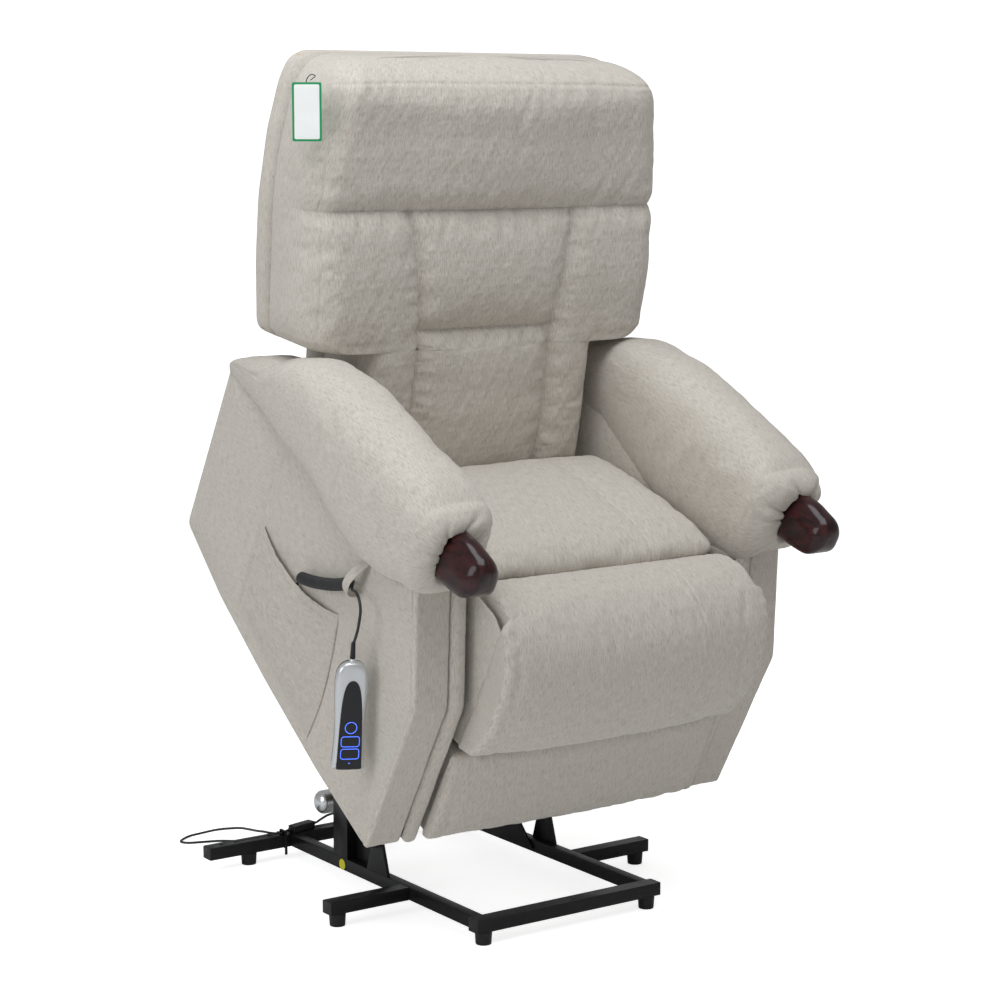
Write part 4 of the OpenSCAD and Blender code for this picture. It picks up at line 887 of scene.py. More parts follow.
# %% Back cushion
BACK_TOP, HEAD_SEAM, MID_SEAM, REAR_BOX = 762, 510, 303, 130
outline_half = through([[0, 232], [6, 238], [30, 242], [120, 242.5], [200, 242.5], [250, 242.5], [264, 243.5],
                        [269, 252], [270, 285], [271, 322], [276, 340], [287, 351], [305, 356], [400, 359],
                        [510, 361], [570, 358], [626, 351], [680, 340], [714, 330], [740, 313], [754, 290],
                        [760, 262]], 420)
front_depth = [[0, -8], [64, -14], [139, -19], [220, -22], [303, -26], [402, -32], [510, -24], [626, -25],
    [714, -30], [748, 8], [761, 50]]
channel_line = [[0, 128], [139, 141], [303, 140], [510, 169], [800, 200]]


def value_at(table, where):
    """A smooth curve through a table of (place, value), read at a place."""
    curve = through(table, 400)
    return np.interp(where, curve[:, 0], curve[:, 1])


def seam_line(distance, roll, crease, roll_width=14, crease_width=2.6):
    """A sewn seam: cloth rolls in towards it from both sides, and a narrow crease marks the stitches."""
    return roll * bell(distance, roll_width) + crease * bell(distance, crease_width)


def back_front(x, b, half):
    """Depth of the back's front face at x across and b up: its side profile, with pillows between seams."""
    channel = value_at(channel_line, b)
    depth = value_at(front_depth, b)
    to_channel = np.abs(x) - channel
    below_head = 1 / (1 + np.exp((b - HEAD_SEAM) / 3))
    inside = 1 / (1 + np.exp(to_channel / 4))
    gather = 1.1 * np.sin(b / 7.5 + 2.5 * wave_noise(b, x * 0.1, 31, 90)) * bell(to_channel, 26)
    depth = depth + below_head * (seam_line(to_channel, 9, 4) + gather * np.sign(to_channel) * 0.6)
    head_gather = 1.2 * np.sin(x / 9.5 + 2.5 * wave_noise(x, b * 0.1, 32, 110))
    depth = depth + seam_line(b - HEAD_SEAM, 12, 4, 16) + head_gather * bell(b - HEAD_SEAM, 24)
    depth = depth + inside * (seam_line(b - MID_SEAM, 10, 4, 13) + 0.8 * head_gather * bell(b - MID_SEAM, 20))
    rise = np.where(b > HEAD_SEAM, (b - HEAD_SEAM) / (BACK_TOP - HEAD_SEAM),
                    np.where(b > MID_SEAM, (b - MID_SEAM) / (HEAD_SEAM - MID_SEAM), b / MID_SEAM))
    pillow = np.sin(np.pi * unit(rise)) ** 0.6
    middle = unit(1 - (x / channel) ** 2)
    side_place = unit((np.abs(x) - channel) / np.maximum(half - channel, 1))
    side_pillow = 4 * np.sin(np.pi * side_place) * (b < HEAD_SEAM)
    head_pillow = 6 * (1 - (x / half) ** 2) * (b > HEAD_SEAM)
    uneven = 1.5 * wave_noise(x, b, 33, 230) + 0.7 * wave_noise(x * 1.5, b, 34, 90)
    uneven = uneven - stitched(np.abs(x) - half * 0.955) * (b > 285)
    uneven = uneven - stitched(b - 729 + 10 * (x / half) ** 6)
    return depth - 9 * pillow * middle - side_pillow - head_pillow * pillow + uneven


def back_rows():
    """Sections of the back: front, side, rear and side, as (x, depth, height)."""
    b, half = outline_half[:, :1], outline_half[:, 1:]
    across = np.sin(np.linspace(-1, 1, 340) * np.pi / 2) * 0.25 + np.linspace(-1, 1, 340) * 0.75
    edge = np.abs(across)
    x = half * across
    rear = np.minimum(REAR_BOX, 70 + b * 76 / 64)
    rounded = 34 * unit((edge - 0.86) / 0.14) ** 2.6
    front = back_front(x, b, half) + rounded
    side = np.linspace(0, 1, 22)[1:]
    round_rear = 12 * (1 - np.sqrt(1 - unit((side - 0.8) / 0.2) ** 2))
    swell = 7 * np.sin(np.pi * side) ** 0.8 * unit((b - 285) / 40) * np.clip((744 - b) / 40, 0.2, 1)
    right_x = half + swell - round_rear
    right_t = front[:, -1:] + (rear - front[:, -1:]) * side
    left_t = front[:, :1] + (rear - front[:, :1]) * side
    back_x = np.linspace(1, -1, 26)[1:-1] * (half - 8)
    rows = [stacked(x, front, b),
            stacked(right_x, right_t, b),
            stacked(back_x, rear, b),
            stacked(-right_x[:, ::-1], left_t[:, ::-1], b)]
    grid = np.concatenate(rows, 1)
    grid[..., 2] -= 3 * unit((grid[..., 1] - 50) / 80) * unit((grid[..., 2] - 690) / 70)
    return grid


def drawn_in(ring, middle, rise, count=9):
    """Rows from a ring towards a middle point, rising by a quarter circle."""
    s = np.linspace(0, 1, count + 1)[1:-1, None, None]
    grown = ring + (middle - ring) * s
    grown[..., 2] += rise * np.sin(s[..., 0] * np.pi / 2)
    return grown


def back_hold(x, depth, b):
    """The back is held behind, low at its sides, at its two ends and along its seams."""
    channel = value_at(channel_line, b)
    held = [unit((depth - 60) / 30), bell(b - HEAD_SEAM, 10), bell(b - MID_SEAM, 9) * (np.abs(x) < channel),
            bell(np.abs(x) - channel, 9) * (b < HEAD_SEAM), unit((40 - b) / 20), unit((b - 734) / 15),
            unit((np.abs(x) - 225) / 12) * (b < 290)]
    return np.max(held, 0)


back_grid = back_rows()
top_ring, low_ring = back_grid[-1], back_grid[0]
back_grid = np.concatenate([drawn_in(low_ring, low_ring.mean(0), -2)[::-1], back_grid,
    drawn_in(top_ring, top_ring.mean(0), 5)])
back_grid = settled(back_grid, back_hold(*np.moveaxis(back_grid, -1, 0)), 3.5)
around_back = np.append(lengths(back_grid[120]), lengths(back_grid[120])[-1] + 5)
up_back = lengths(back_grid[:, 170])
back_flat = flat_map(around_back[None] * MM, up_back[:, None] * MM)
padded("back_cushion_cover", faces_of(on_back(back_grid), back_flat), "back", "back_cushion")

# %% [markdown]
# ## Panels
# The sides of the arms and the rear of the back are board with thin padding
# under the cloth. Such a panel is a flat outline: rows run from its middle
# out to the outline, over a rounded edge and back to the middle on the other
# face. A puff stands the outer face off, most in the middle.

# %% Panels
def rounded_outline(corners, count, radius):
    """A closed outline whose corners are parabolas: (1-t)^2 a + 2t(1-t) p + t^2 b, spaced evenly."""
    p = np.asarray(corners, float)
    before, after = np.roll(p, 1, 0) - p, np.roll(p, -1, 0) - p
    a, b = (p + way * np.minimum(radius / np.linalg.norm(way, axis=1, keepdims=True), 0.45)
            for way in (before, after))
    t = np.linspace(0, 1, 11)[None, :, None]
    curve = (a[:, None] * (1 - t) ** 2 + 2 * p[:, None] * t * (1 - t) + b[:, None] * t**2).reshape(-1, 2)
    return even(curve, count)


def even(outline, count):
    """A closed outline's points, spaced evenly."""
    far = lengths(outline, closed=True)
    at = np.linspace(0, far[-1], count, endpoint=False)
    closed = np.concatenate([outline, outline[:1]])
    return np.stack([np.interp(at, far, closed[:, k]) for k in (0, 1)], -1)


def panel(line, to_world, low, high, puff, middle=None, edge=5, rings=26, turned=False):
    """A panel over a closed outline, from depth low to depth high.

    puff(p, q, share) stands the high face off, and share runs from 0 in the middle to 1 at the rim.
    """
    side, around = np.sign(high - low), len(line)
    centre = np.array(middle if middle is not None else line.mean(0))
    inward = -outline_normals(line) * edge
    share = np.linspace(0.03, 1, rings)[:, None, None]
    face = centre + (line + inward - centre) * share
    turn = np.linspace(0, np.pi / 2, 7)[1:]
    rim = line + inward * (1 - np.sin(turn))[:, None, None]
    lift = puff(face[..., 0], face[..., 1], np.broadcast_to(share[..., 0], face.shape[:2]))
    drop = np.broadcast_to(edge * (1 - np.cos(turn))[:, None], (len(turn), around))
    back_face = centre + (line - centre) * np.linspace(1, 0.03, 8)[:, None, None]
    flat_grid = np.concatenate([face, rim, back_face])
    depth = np.concatenate([high + side * lift, high - side * drop, np.full((8, around), float(low))])
    beyond = (np.arange(len(flat_grid)) >= rings)[:, None, None]
    flat = flat_grid + outline_normals(line) * np.abs(depth - high)[..., None] * beyond
    flat = np.concatenate([flat, flat[:, :1]], 1)[..., ::-1 if turned else 1] * MM
    return faces_of(to_world(depth, flat_grid[..., 0], flat_grid[..., 1]), flat)


def no_puff(p, q, share):
    """For a face that is left flat."""
    return 0 * p


def side_of_chair(sign):
    """Places a panel's depth across the chair, on one side of it."""
    return lambda depth, p, q: on_chair(stacked(sign * depth, p, q))


BODY_OUT, ARM_IN, PANEL_T = 377, 277, 15
arm_side = rounded_outline([[14.3, 2], [14.3, 293.6], [107, 472], [175, 441], [284, 428], [526, 469],
    [752, 452], [743, 119]], 420, 16)
outer_side = rounded_outline([[5, 1], [5, 295], [100, 477], [175, 441], [284, 428], [526, 469], [755, 452],
    [755, 103], [594, 60], [402, 31], [190, 9]], 420, 14)
panel_seam = [[526, 469], [536, 432], [539, 381], [536, 324], [531, 265], [529, 172], [529, 72]]


def distance_to(path, p, q):
    """Distance from points (p, q) to a line of straight stretches."""
    path = np.asarray(path, float)
    best = np.full(np.shape(p), 1e9)
    for start, end in zip(path[:-1], path[1:]):
        way = end - start
        t = unit(((p - start[0]) * way[0] + (q - start[1]) * way[1]) / (way @ way))
        best = np.minimum(best, np.hypot(p - start[0] - t * way[0], q - start[1] - t * way[1]))
    return best


def outer_puff(p, q, share):
    """A seam runs down the panel: flat in front of it, where the pocket is sewn on, and full behind it."""
    away = distance_to(panel_seam, p, q)
    behind = p > np.interp(q, [72, 172, 265, 324, 381, 432, 469], [529, 529, 531, 536, 539, 536, 526])
    full = unit(1 - share**5)
    swell = np.where(behind, 11 * (1 - np.exp(-away / 45)), 1.2 * (1 - np.exp(-away / 20)))
    pocket = unit((300 - q) / 24) * unit((p - 205) / 24) * ~behind
    pressed = 1 - 0.85 * pocket
    return 0.6 + full * ((swell + 1.4 + 0.9 * wave_noise(p, q, 41, 180)) * pressed - 2.2 * bell(away, 1.9))


def inner_puff(p, q, share):
    return unit(1 - share**5) * (7.6 + 0.6 * wave_noise(p, q, 42, 200))


for side, word in SIDES:
    place = side_of_chair(side)
    padded(f"{word}_outer_cover", panel(outer_side, place, BODY_OUT - PANEL_T, BODY_OUT, outer_puff,
        (390, 270), rings=90, turned=True), "seat_unit", f"arm_{word}_outer_panel")
    padded(f"{word}_inner_cover", panel(arm_side, place, ARM_IN + PANEL_T, ARM_IN, inner_puff, (390, 270),
        turned=True), "seat_unit", f"arm_{word}_inner_panel")

rear_half = [[64, 250], [262, 250], [270, 330], [284, 353], [400, 362], [510, 364], [626, 354], [712, 336],
             [746, 320], [758, 294]]
rear_corners = [[h, b] for b, h in rear_half] + [[-h, b] for b, h in rear_half[::-1]]
rear_outline = rounded_outline(rear_corners, 360, 16)


def rear_puff(p, q, share):
    return unit(1 - share**4) * (5 + 1.2 * wave_noise(p, q, 43, 260))


padded("back_rear_cover", panel(rear_outline, lambda depth, p, q: on_back(stacked(p, depth, q)), REAR_BOX - 3,
    173.5, rear_puff, (0, 430), edge=9), "back", "back_rear_panel")

# %% [markdown]
# ## Boxing at the legrest pad's ends
# Each end of the legrest pad is closed by an upright wall of cloth. It is a
# thin panel in the narrow gap between the legrest's hinge brackets and the
# arm, and it turns with the legrest. It reaches back past the pad at the
# top, so the linkage behind it can't be seen from in front.

# %% Boxing at the legrest pad's ends
CHEEK_IN, CHEEK_OUT = 264.6, 268.0
cheek_side = rounded_outline([[-22, 447], [20, 466], [72, 464], [100, 450], [94, 420], [64, 385], [53, 300],
    [50, 226], [30, 213], [-18, 219], [-44, 248], [-55, 290], [-58, 340], [-54, 388], [-42, 424]], 220, 8)


def cheek_puff(p, q, share):
    """A cloth wall drawn tight, with the small creases of its seam round the rim."""
    crease = 0.5 * np.sin(np.arctan2(q - 350, p - 10) * 90 + 3 * wave_noise(p, q, 81, 120)) * share**8
    return 0.3 + 0.3 * wave_noise(p, q, 82, 90) + crease


for side, word in SIDES:
    padded(f"legrest_{word}_cheek", panel(cheek_side, side_of_chair(side), CHEEK_IN, CHEEK_OUT, cheek_puff,
        (10, 345), edge=1.5), "legrest", "legrest_pad")

# %% [markdown]
# ## Arm pads
# An arm pad is a fat roll of stuffing along the arm: boxed underneath, where
# it sits on the boards, and round above. At the front its cloth is drawn in
# towards the carved arm end and tucked away behind it. The spare cloth there
# lies in a few deep pleats, which are valleys in the height of the surface
# at chosen angles round the opening, wider and shallower further out.

# %% Arm pads
PAD_IN, PAD_W, KNUCKLE_X = 268, 146, 350
HOLE_Y, HOLE_Z, HOLE_WIDE, HOLE_TALL = 62, 558, 29, 51
PAD_FRONT, PAD_REAR = 104, 748
pad_top = [[60, 560], [62, 585], [72, 612], [94, 634], [130, 648], [175, 650], [230, 648], [284, 645],
    [350, 640], [423, 632], [526, 606], [578, 580], [640, 540], [700, 502], [750, 468]]
pad_under = [[60, 540], [62, 524], [72, 502], [94, 479.3], [107, 472.8], [175, 441.3], [284, 428.3],
             [526, 469.3], [752, 452.3]]
pad_reach = [[62, 0.66], [72, 0.86], [94, 0.97], [130, 1], [330, 1], [526, 0.97], [640, 0.87], [750, 0.8]]


def signed_power(value, exponent):
    return np.sign(value) * np.abs(value) ** exponent


def pad_section(y, a):
    """The pad at y along the arm and an angle a round it, as (outward, along, up)."""
    top, low, reach = (value_at(table, y) for table in (pad_top, pad_under, pad_reach))
    up, out = np.sin(a), np.cos(a)
    height = np.where(up < 0, signed_power(up, 0.4), signed_power(up, 0.78))
    skirt = 34 * bell(nearest(a - np.radians(218)), 0.32)
    skirt = skirt + 18 * bell(nearest(a - np.radians(322)), 0.35) * unit((y - 430) / 90)
    return stacked(PAD_IN + PAD_W * reach * (1 + signed_power(out, 0.66)) / 2, y,
        (top + low) / 2 + (top - low) / 2 * height - skirt)


def pushed(grid, amount, loop=True):
    """Every point of a grid moved along the surface's own normal there."""
    across = np.roll(grid, -1, 1) - np.roll(grid, 1, 1) if loop else np.gradient(grid, axis=1)
    normal = np.cross(np.gradient(grid, axis=0), across)
    normal /= np.maximum(np.linalg.norm(normal, axis=-1, keepdims=True), 1e-9)
    outward = np.sign(((grid - grid.mean((0, 1))) * normal).sum())
    return grid + normal * outward * amount[..., None]


def even_angles(count):
    """Angles at which the pad's section has evenly spaced points."""
    fine = np.linspace(0, 2 * np.pi, 4001)
    far = lengths(pad_section(np.array([300.0]), fine))
    return np.interp(np.linspace(0, far[-1], count, endpoint=False), far, fine)


def arm_pad(pleats, seed):
    """Rows from the rear end to the opening in front, then a tuck; pleats are (angle, depth, curl)."""
    a = even_angles(220)
    body = pad_section(np.linspace(PAD_REAR, PAD_FRONT, 96)[:, None], a[None])
    s = np.linspace(0, 1, 34)[1:, None]
    outer = body[-1]
    opening = stacked(KNUCKLE_X + HOLE_WIDE * signed_power(np.cos(a), 0.8), np.full(len(a), float(HOLE_Y)),
                        HOLE_Z + HOLE_TALL * signed_power(np.sin(a), 0.8))
    drawn = np.cos(s * np.pi / 2) ** 0.85
    lip = opening + (outer - opening) * drawn[..., None]
    lip[..., 1] = PAD_FRONT - (PAD_FRONT - HOLE_Y) * np.sin(s * np.pi / 2)
    t = np.linspace(0, 1, 8)[1:, None, None]
    tuck = opening + ((KNUCKLE_X, HOLE_Y, HOLE_Z) - opening) * t * 0.35 + t * (0, 26, 0)
    grid = np.concatenate([body, lip, tuck])
    share = np.concatenate([np.zeros(len(body)), s[:, 0], 1 + 0.2 * t[:, 0, 0]])[:, None]
    angle = np.arctan2(grid[..., 2] - HOLE_Z, grid[..., 0] - KNUCKLE_X)
    amount = 1.5 * wave_noise(grid[..., 1], a * 60, seed, 260)
    amount = amount + 0.7 * wave_noise(grid[..., 1], a * 60, seed + 1, 80)
    fade = unit((share - 0.22) / 0.5) ** 1.2
    for at, deep, curl in pleats:
        off = nearest(angle - np.radians(at) - curl * (1 - share))
        amount = amount - deep * fade * (bell(off, 0.07 + 0.1 * (1 - share)) - 0.35 * bell(off - 0.24, 0.17))
    grid = pushed(grid, amount)
    hold = np.maximum(unit((0.35 - np.sin(a))[None] / 0.5), unit((share - 0.1) / 0.3))
    grid = settled(grid, np.maximum(hold, unit((grid[..., 1] - 700) / 30)), 3.5)
    along = lengths(grid[:, 60])
    round_it = lengths(body[40], closed=True)
    return grid, flat_map(round_it[None] * MM, along[:, None] * MM)


pad_pleats = {
    -1: [(98, 6, 0.5), (133, 6.5, 0.4), (160, 6, 0.25), (186, 4, 0.1), (20, 3, -0.3), (-14, 2.5, -0.2),
         (62, 2.2, 0.3)],
    1: [(100, 5, 0.3), (70, 5, -0.4), (38, 6, -0.4), (8, 4.5, -0.2), (150, 5, 0.3), (178, 4, 0.1)],
}
for side, word in SIDES:
    grid, flat = arm_pad(pad_pleats[side], 50 + side)
    padded(f"{word}_pad_cover", faces_of(on_chair(grid * (side, 1, 1)), flat), "seat_unit", f"arm_{word}_pad")

# %% [markdown]
# ## Carved arm ends
# Each arm ends in a carved grip of stained wood that comes out of the pad
# and drops at its nose. Its section is a box with one broad flat cut off
# each upper corner and everything eased round. Towards the nose the section
# is scaled by the cosine of an angle while y runs with its sine, which
# rounds the nose off as part of a ball.

# %% Carved arm ends
knuckle_line = [[-31, 550, 613, 29], [-15, 543, 614, 30.5], [6, 536, 615, 31], [40, 528, 615, 30],
    [75, 522, 604, 26], [100, 520, 592, 22]]
carved = rounded_outline([[1, -1], [1, 0.25], [0.45, 1], [-0.45, 1], [-1, 0.25], [-1, -1]], 120, 0.42)


GRIP_REAR, GRIP_FRONT, NOSE = 100, -31, 25


def carved_end(side):
    table, turn = through(knuckle_line, 300), np.linspace(0, 0.49 * np.pi, 40)[1:]
    y = np.concatenate([np.linspace(GRIP_REAR, GRIP_FRONT + NOSE, 50),
        GRIP_FRONT + NOSE - NOSE * np.sin(turn)])
    draw = np.concatenate([np.ones(50), np.cos(turn) ** 0.6])[:, None]
    low, high, half = (np.interp(-y, -table[::-1, 0], table[::-1, k])[:, None] for k in (1, 2, 3))
    x = KNUCKLE_X + half * carved[None, :, 0] * draw
    z = low + (high - low) * (0.58 + (carved[None, :, 1] / 2 - 0.08) * draw)
    grid = stacked(x * side, y[:, None], z)
    flat = flat_map(lengths(carved, closed=True)[None] * 0.026, y[:, None] * MM)
    return faces_of(on_chair(grid), flat)


for side, word in SIDES:
    piece(f"{word}_arm_end", carved_end(side), mahogany, "seat_unit", "mahogany", "arm_knuckles")

# %% [markdown]
# ## Arm fronts
# The front of an arm is a flat strip with a narrow gathered roll beside it,
# next to the legrest. Both are side outlines carried across a short width,
# and the roll's rounding is as large as half its width.

# %% Arm fronts
strip_side = rounded_outline([[0, 1], [1, 299], [94, 480], [106.6, 473], [14, 295], [14, 1]], 260, 7)
roll_side = rounded_outline([[-9, 5], [-8, 301], [83, 476], [94, 480], [106.6, 473], [14, 295], [14, 3]], 260,
    7)
rear_side = rounded_outline([[729, 120], [743, 120], [751.5, 452], [737, 452]], 160, 6)


def strip_push(x, line, far):
    return 0.7 * wave_noise(x * 1.3, far, 61, 130) + 1.2


def roll_push(x, line, far):
    """Fine gathers across the roll, which wander and come and go."""
    wander = 2.2 * wave_noise(far, x * 0.4, 62, 90)
    swell = 0.5 + 0.5 * wave_noise(far, x, 63, 70)
    return 0.55 * swell * np.sin(far / 1.7 + wander) + 1.2 * wave_noise(x * 0.5, far, 64, 150) + 1.0


for side, word in SIDES:
    for part, outline, width, middle, edge, push in (
            ("strip", strip_side, 67, 343.2, 6, strip_push), ("roll", roll_side, 29, 294.6, 13, roll_push),
            ("rear", rear_side, 70, 327, 5, strip_push)):
        surface = across_cushion(outline, width, edge, push, columns=30, at=side * middle)
        padded(f"{word}_arm_{part}", surface, "seat_unit", "arm_fronts")

# %% [markdown]
# ## Side pocket
# The pocket is one sheet sewn to the arm's outer panel along three sides. Its
# top edge sags, and is turned over and drawn up by elastic; the turned cloth
# hangs inside over the upper part of the pocket. The sheet is a
# Coons patch, the surface that blends four boundary curves: sum the two
# ruled surfaces between facing sides and take away the bilinear one through
# the corners. Its depth off the panel is a formula of the same two places.

# %% Side pocket
pocket_low = [[232, 40], [330, 56], [430, 73], [518, 88]]
pocket_hem = [[252, 296], [280, 284], [308, 275], [367, 262], [425, 260], [478, 264], [520, 274]]
pocket_front = [[232, 40], [226, 132], [236, 220], [252, 296]]
pocket_rear = [[518, 88], [519, 180], [520, 274]]


def coons(low, high, first, last):
    """The surface between two facing pairs of curves, rows from low to high."""
    v, u = np.linspace(0, 1, len(first))[:, None, None], np.linspace(0, 1, len(low))[None, :, None]
    ruled = low[None] * (1 - v) + high[None] * v + first[:, None] * (1 - u) + last[:, None] * u
    corners = low[0] * (1 - u) * (1 - v) + low[-1] * u * (1 - v) + high[0] * (1 - u) * v + high[-1] * u * v
    return ruled - corners


def pocket_depth(u, v):
    """How far the sheet stands off: full low down, open at the hem, with folds falling from it."""
    held = np.sin(np.pi * u) ** 0.45
    bag = unit(1 - (1 - v) ** 6)
    full = 1.8 + held * (7.5 * np.sin(np.pi * v**0.75) * bag + 9 * v**3)
    lean = u + 0.16 * (1 - v)
    folds = np.sin(lean * 26 + 1.2 * np.sin(lean * 9 + 1)) * v**1.8 * 2.6
    long_fold = 4.0 * bell(lean - 0.66 - 0.1 * v, 0.035) * unit(v * 1.3) - 3.2 * bell(
        lean - 0.735 - 0.1 * v, 0.04) * unit(v * 1.3)
    small = 1.7 * wave_noise(u * 260, v * 240, 71, 70) + 0.8 * wave_noise(u * 260, v * 240, 72, 30)
    pucker = 0.7 * np.sin(u * 150 + 3 * np.sin(u * 21)) * bell(v - 0.94, 0.035)
    stitches = -1.6 * bell(v - 0.93, 0.007)
    edge = np.minimum(np.minimum(u, 1 - u) / 0.05, v / 0.05).clip(0, 1)
    calm = 1 - 0.8 * bell(v - 1, 0.14)
    return full + (held * (folds + long_fold) * calm + small * calm + pucker + stitches) * edge


def pocket_sheet():
    across, up = 170, 150
    flat = coons(through(pocket_low, across), through(pocket_hem, across), through(pocket_front, up),
                 through(pocket_rear, up))
    u, v = np.linspace(0, 1, across)[None], np.linspace(0, 1, up)[:, None]
    off = np.clip(pocket_depth(u, v), 1.0, 18)
    outer = np.concatenate([BODY_OUT + 0.6 + off[..., None], flat], -1)
    outer[..., 2] += 0.5 * np.sin(u * 70 + 2 * np.sin(u * 17)) * unit((v - 0.9) / 0.1) * np.sin(np.pi *
        u) ** 0.3
    turn = np.linspace(0, np.pi, 7)[1:-1, None, None]
    rim = outer[-1] + np.sin(turn) * (0, 0, 0.9) - (1 - np.cos(turn)) * (0.9, 0, 0)
    inner = outer[::-1][:70] - (1.8, 0, 0)
    grid = np.concatenate([outer, rim, inner])
    flat = stacked(grid[..., 2], grid[..., 1]) * MM
    return faces_of(on_chair(grid * (-1, 1, 1)), flat, False, (False, False))


pocket = piece("side_pocket_cloth", pocket_sheet(), painted_shade_cloth, "seat_unit", "cover_fabric", "side_pocket")

# %% [markdown]
# ## Strap
# A folded strap of the same cloth carries the cord. It is one flat band
# swept along a closed bend, and its raw edges stand a little apart.

# %% Strap
strap_bend = [[1, 430], [6, 428], [17, 416], [28, 399], [30.5, 384], [27, 371], [19, 365.5], [9, 366],
    [1, 374]]


STRAP_Y, STRAP_HALF, STRAP_THICK = 223, 9.2, 2.0


def strap_band():
    line = through(strap_bend, 70)
    normal = outline_normals(line, closed=False)
    a = circle(40)
    wide, tall = signed_power(np.cos(a), 0.35) * STRAP_HALF, signed_power(np.sin(a), 0.5) * STRAP_THICK / 2
    sway = np.sin(np.linspace(0, 3, 70))[:, None] * 1.5
    ripple = 0.25 * np.sin(np.linspace(0, 25, 70))[:, None] * np.cos(a)[None]
    place = line[:, None] + normal[:, None] * (tall[None] + ripple)[..., None]
    grid = stacked(BODY_OUT + 0.3 + place[..., 0], STRAP_Y + wide[None] + sway, place[..., 1])
    flat = flat_map(lengths(stacked(wide, tall), closed=True)[None] * MM, lengths(line)[:, None] * MM)
    return faces_of(on_chair(grid * (-1, 1, 1)), flat)


strap = piece("strap_cloth", strap_band(), painted_shade_cloth, "seat_unit", "cover_fabric", "cord_strap")

# %% [markdown]
# ## Handset
# The handset is a shell of silver-painted plastic in front and a black one
# behind, a black face that widens towards the bottom, and three lit keys.
# All of them are panels over outlines: half widths at heights down the
# handset. The light round each key is a thin raised rim that glows blue.

# %% Handset shells
def mirrored(half):
    """A closed outline from half widths at heights, top to bottom."""
    line = through(half, 120)
    return np.concatenate([line, (line * (-1, 1))[::-1][1:-1]])


KEY_FACE, KEY_FOOT, LIGHT_DEPTH, LIGHT_R, LED_Z = -14.4, -10.0, -14.1, 0.65, -169.5


def hand_place(depth, p, q):
    return on_handset(stacked(p, depth, q))


shell_half = [[0, 0], [7, -0.4], [14, -2.6], [20, -7.5], [24.5, -16], [26.6, -28], [27, -42], [26.4, -60],
    [25, -84], [24, -106], [24, -128], [24.8, -150], [26.2, -168], [26.6, -177], [25.6, -180.6], [20, -181.4],
    [0, -182]]
face_half = [[0, -30], [5, -31.5], [9.5, -37], [13, -47], [15.6, -62], [17.4, -82], [18.4, -104],
    [19.2, -126], [20, -150], [20.6, -170], [20.6, -178.8], [18, -180.2], [0, -180.8]]
shell_line, face_line = even(mirrored(shell_half), 240), even(mirrored(face_half), 220)
piece("handset_silver_shell", panel(shell_line, hand_place, 2.0, -11.6, lambda p, q,
    s: 0.5 * (1 - (p / 27) ** 2), (0, -95), edge=8), silver, "handset", "silver_plastic",
    "handset_front_shell")
piece("handset_black_shell", panel(even(mirrored(shell_half) * (0.985, 0.998), 240), hand_place, 2.1, 12.0,
    no_puff, (0, -95), edge=7), matte_black, "handset", "black_plastic", "handset_back_shell")
piece("handset_black_face", panel(face_line, hand_place, -11.0, -13.5, lambda p, q, s: 0.1 * (1 - s**4),
    (0, -110), edge=0.9), gloss_black, "handset", "gloss_black", "handset_face_plate")


# %% Keys and their light
def key_light():
    f = Finish("key_light", (0.02, 0.05, 0.3), 0.4)
    patch = f.noise(f.place(), 500.0, 2.0).ramp(0.2, 0.8)
    f.feed(Emission_Strength=1.6, Emission_Color=f.mix(patch, (0.055, 0.13, 0.95), (0.11, 0.24, 1.0)))
    return f


blue_light = key_light()


def key_outline(width, height, middle, radius, count=72):
    """A round outline, or a rectangle with eased corners, in the middle of the handset."""
    if radius * 2 >= height:
        a = circle(count)
        return stacked(width / 2 * np.cos(a), middle + height / 2 * np.sin(a))
    w, h = width / 2, height / 2
    return rounded_outline([[-w, middle - h], [w, middle - h], [w, middle + h], [-w, middle + h]], 96, radius)


def rim(outline, depth, radius):
    """A thin round rim along a flat closed outline of the handset."""
    normal, a = outline_normals(outline), circle(12)
    flat_place = outline[:, None] + normal[:, None] * (radius * np.cos(a))[None, :, None]
    grid = np.concatenate([flat_place, flat_place[:1]])
    heights = np.broadcast_to(depth + radius * np.sin(a)[None], grid.shape[:2])
    flat = flat_map(np.linspace(0, 0.01, 13)[None], np.linspace(0, 0.1, len(grid))[:, None])
    return faces_of(hand_place(heights, grid[..., 0], grid[..., 1]), flat, poles=(False, False))


keys = [("round", 19, 19, -109, 9.5, "handset_round_button"),
    ("upper", 30, 17, -132.5, 5, "handset_upper_rocker"), ("lower", 30, 17, -153.5, 5,
    "handset_lower_rocker")]
for word, width, height, middle, radius, node in keys:
    outline = key_outline(width - 2, height - 2, middle, radius - 1)
    body = node.removeprefix("handset_")
    slot = "blue_button" if word == "round" else "rocker_grey"
    piece(f"key_{word}", panel(outline, hand_place, KEY_FOOT, KEY_FACE, lambda p, q, s: 0.15 * (1 - s**2),
        (0, middle), edge=0.6, rings=8), gloss_black, body, slot, node)
    piece(f"key_{word}_light", rim(key_outline(width, height, middle, radius), LIGHT_DEPTH, LIGHT_R),
        blue_light, body, slot, node)
led = key_outline(3.2, 1.8, LED_Z, 1.6, 120)
piece("handset_led", panel(led, hand_place, -13.0, -13.8, no_puff, (0, LED_Z), edge=0.2, rings=4),
      blue_light, "handset", "gloss_black", "handset_face_plate")

# %% [markdown]
# ## Strain relief
# Where the cord enters the handset it passes through a ribbed sleeve, which
# is a turned profile: its radius tapers and dips at each groove.

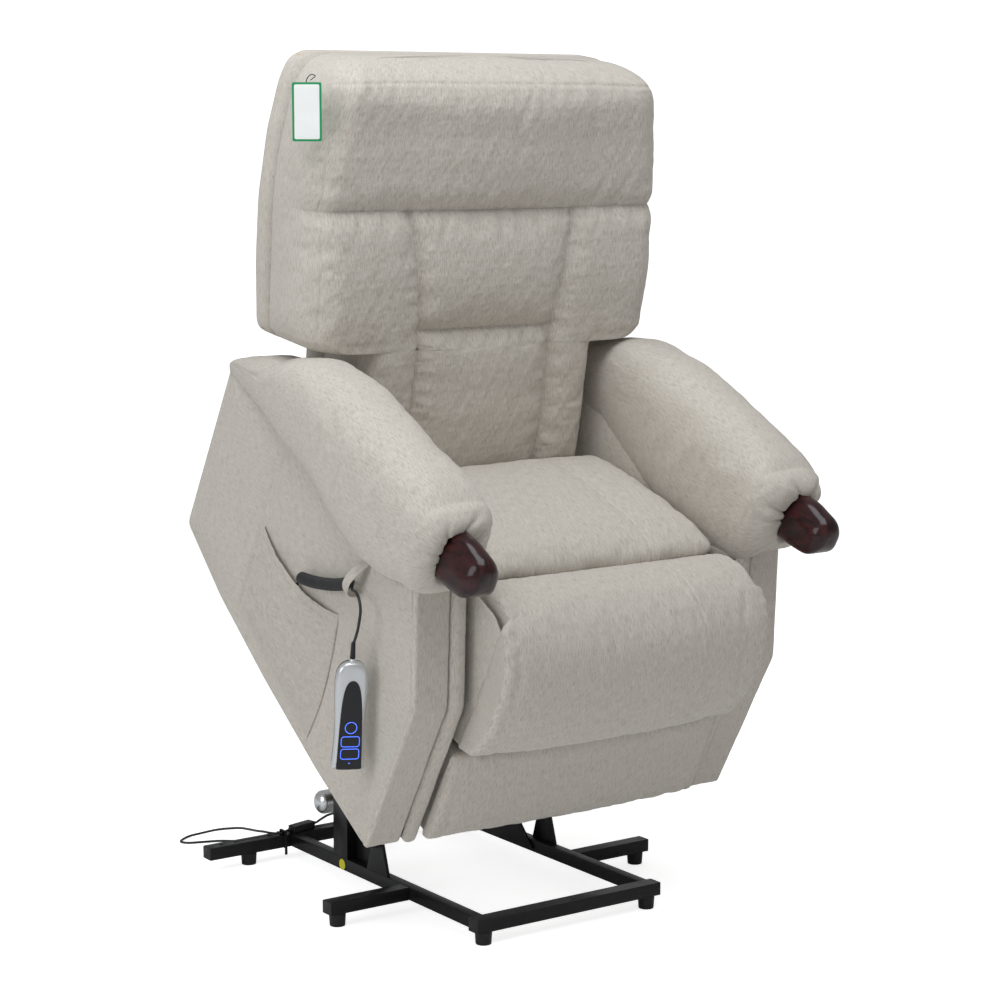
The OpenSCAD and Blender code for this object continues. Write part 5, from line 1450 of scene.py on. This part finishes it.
# %% Strain relief
def turned_profile(heights, radii, place, around=40):
    """A turned solid from radii at heights, on its axis through place."""
    a = circle(around)
    grid = stacked(radii[:, None] * np.cos(a), radii[:, None] * np.sin(a), heights[:, None])
    flat = flat_map(np.linspace(0, 0.03, around + 1)[None], heights[:, None] * MM)
    return faces_of(on_handset(grid + place), flat)


sleeve_z = np.linspace(-1, 30, 180)
groove = 1 - 0.16 * (np.sin(sleeve_z * 2 * np.pi / 3.1) > 0.2) * (sleeve_z > 3) * (sleeve_z < 28)
piece("handset_sleeve", turned_profile(sleeve_z, np.interp(sleeve_z, [-1, 30], [4.9, 3.5]) * groove,
    (0, 2.5, 0)), matte_black, "handset", "black_plastic", "handset_back_shell")
neck_z = np.linspace(-7, 3.5, 40)
piece("handset_neck", turned_profile(neck_z, 6.4 - 1.2 * unit((neck_z + 2) / 5.5) ** 2, (0, -1.5, 0)),
             silver, "handset", "silver_plastic", "handset_front_shell")

# %% [markdown]
# ## Swing tag
# A blank card with a printed green border hangs on a string by the top of
# the back. The border and the paper are two panels, one a hair proud.

# %% Swing tag
TAG_W, TAG_H, TAG_AT, TAG_TURN = 48, 95, np.array((-385, -6, 724)), np.radians(-35)
tag_green = moulded_plastic("tag_green", (0.01, 0.28, 0.1), 0.5)
tag_white = moulded_plastic("tag_white", (0.85, 0.86, 0.84), 0.6)


def tag_place(depth, p, q):
    upright = turned_z(stacked(p, depth, q), TAG_TURN)
    return on_back(turned_x(upright, BACK_LEAN - TILT) + TAG_AT)


def card(width, height, low, high):
    outline = rounded_outline([[-width / 2, -TAG_H / 2 - height / 2], [width / 2, -TAG_H / 2 - height / 2],
        [width / 2, -TAG_H / 2 + height / 2], [-width / 2, -TAG_H / 2 + height / 2]], 160, 3)
    return panel(outline, tag_place, low, high, no_puff, (0, -TAG_H / 2), edge=0.15, rings=6)


piece("tag_card", card(TAG_W, TAG_H, 0.5, -0.5), tag_green, "back", "tag_card", "swing_tag")
piece("tag_front", card(TAG_W - 7, TAG_H - 7, -0.3, -0.65), tag_white, "back", "tag_card", "swing_tag")
string_route = on_back(through(TAG_AT + np.array([[0, 1.6, -3], [4, 6, 5], [18, 18, 10], [36, 34, 6],
    [34, 45, -2]]), 60))
cord("tag_string", string_route, 1.6 * MM, "back", ["swing_tag"])
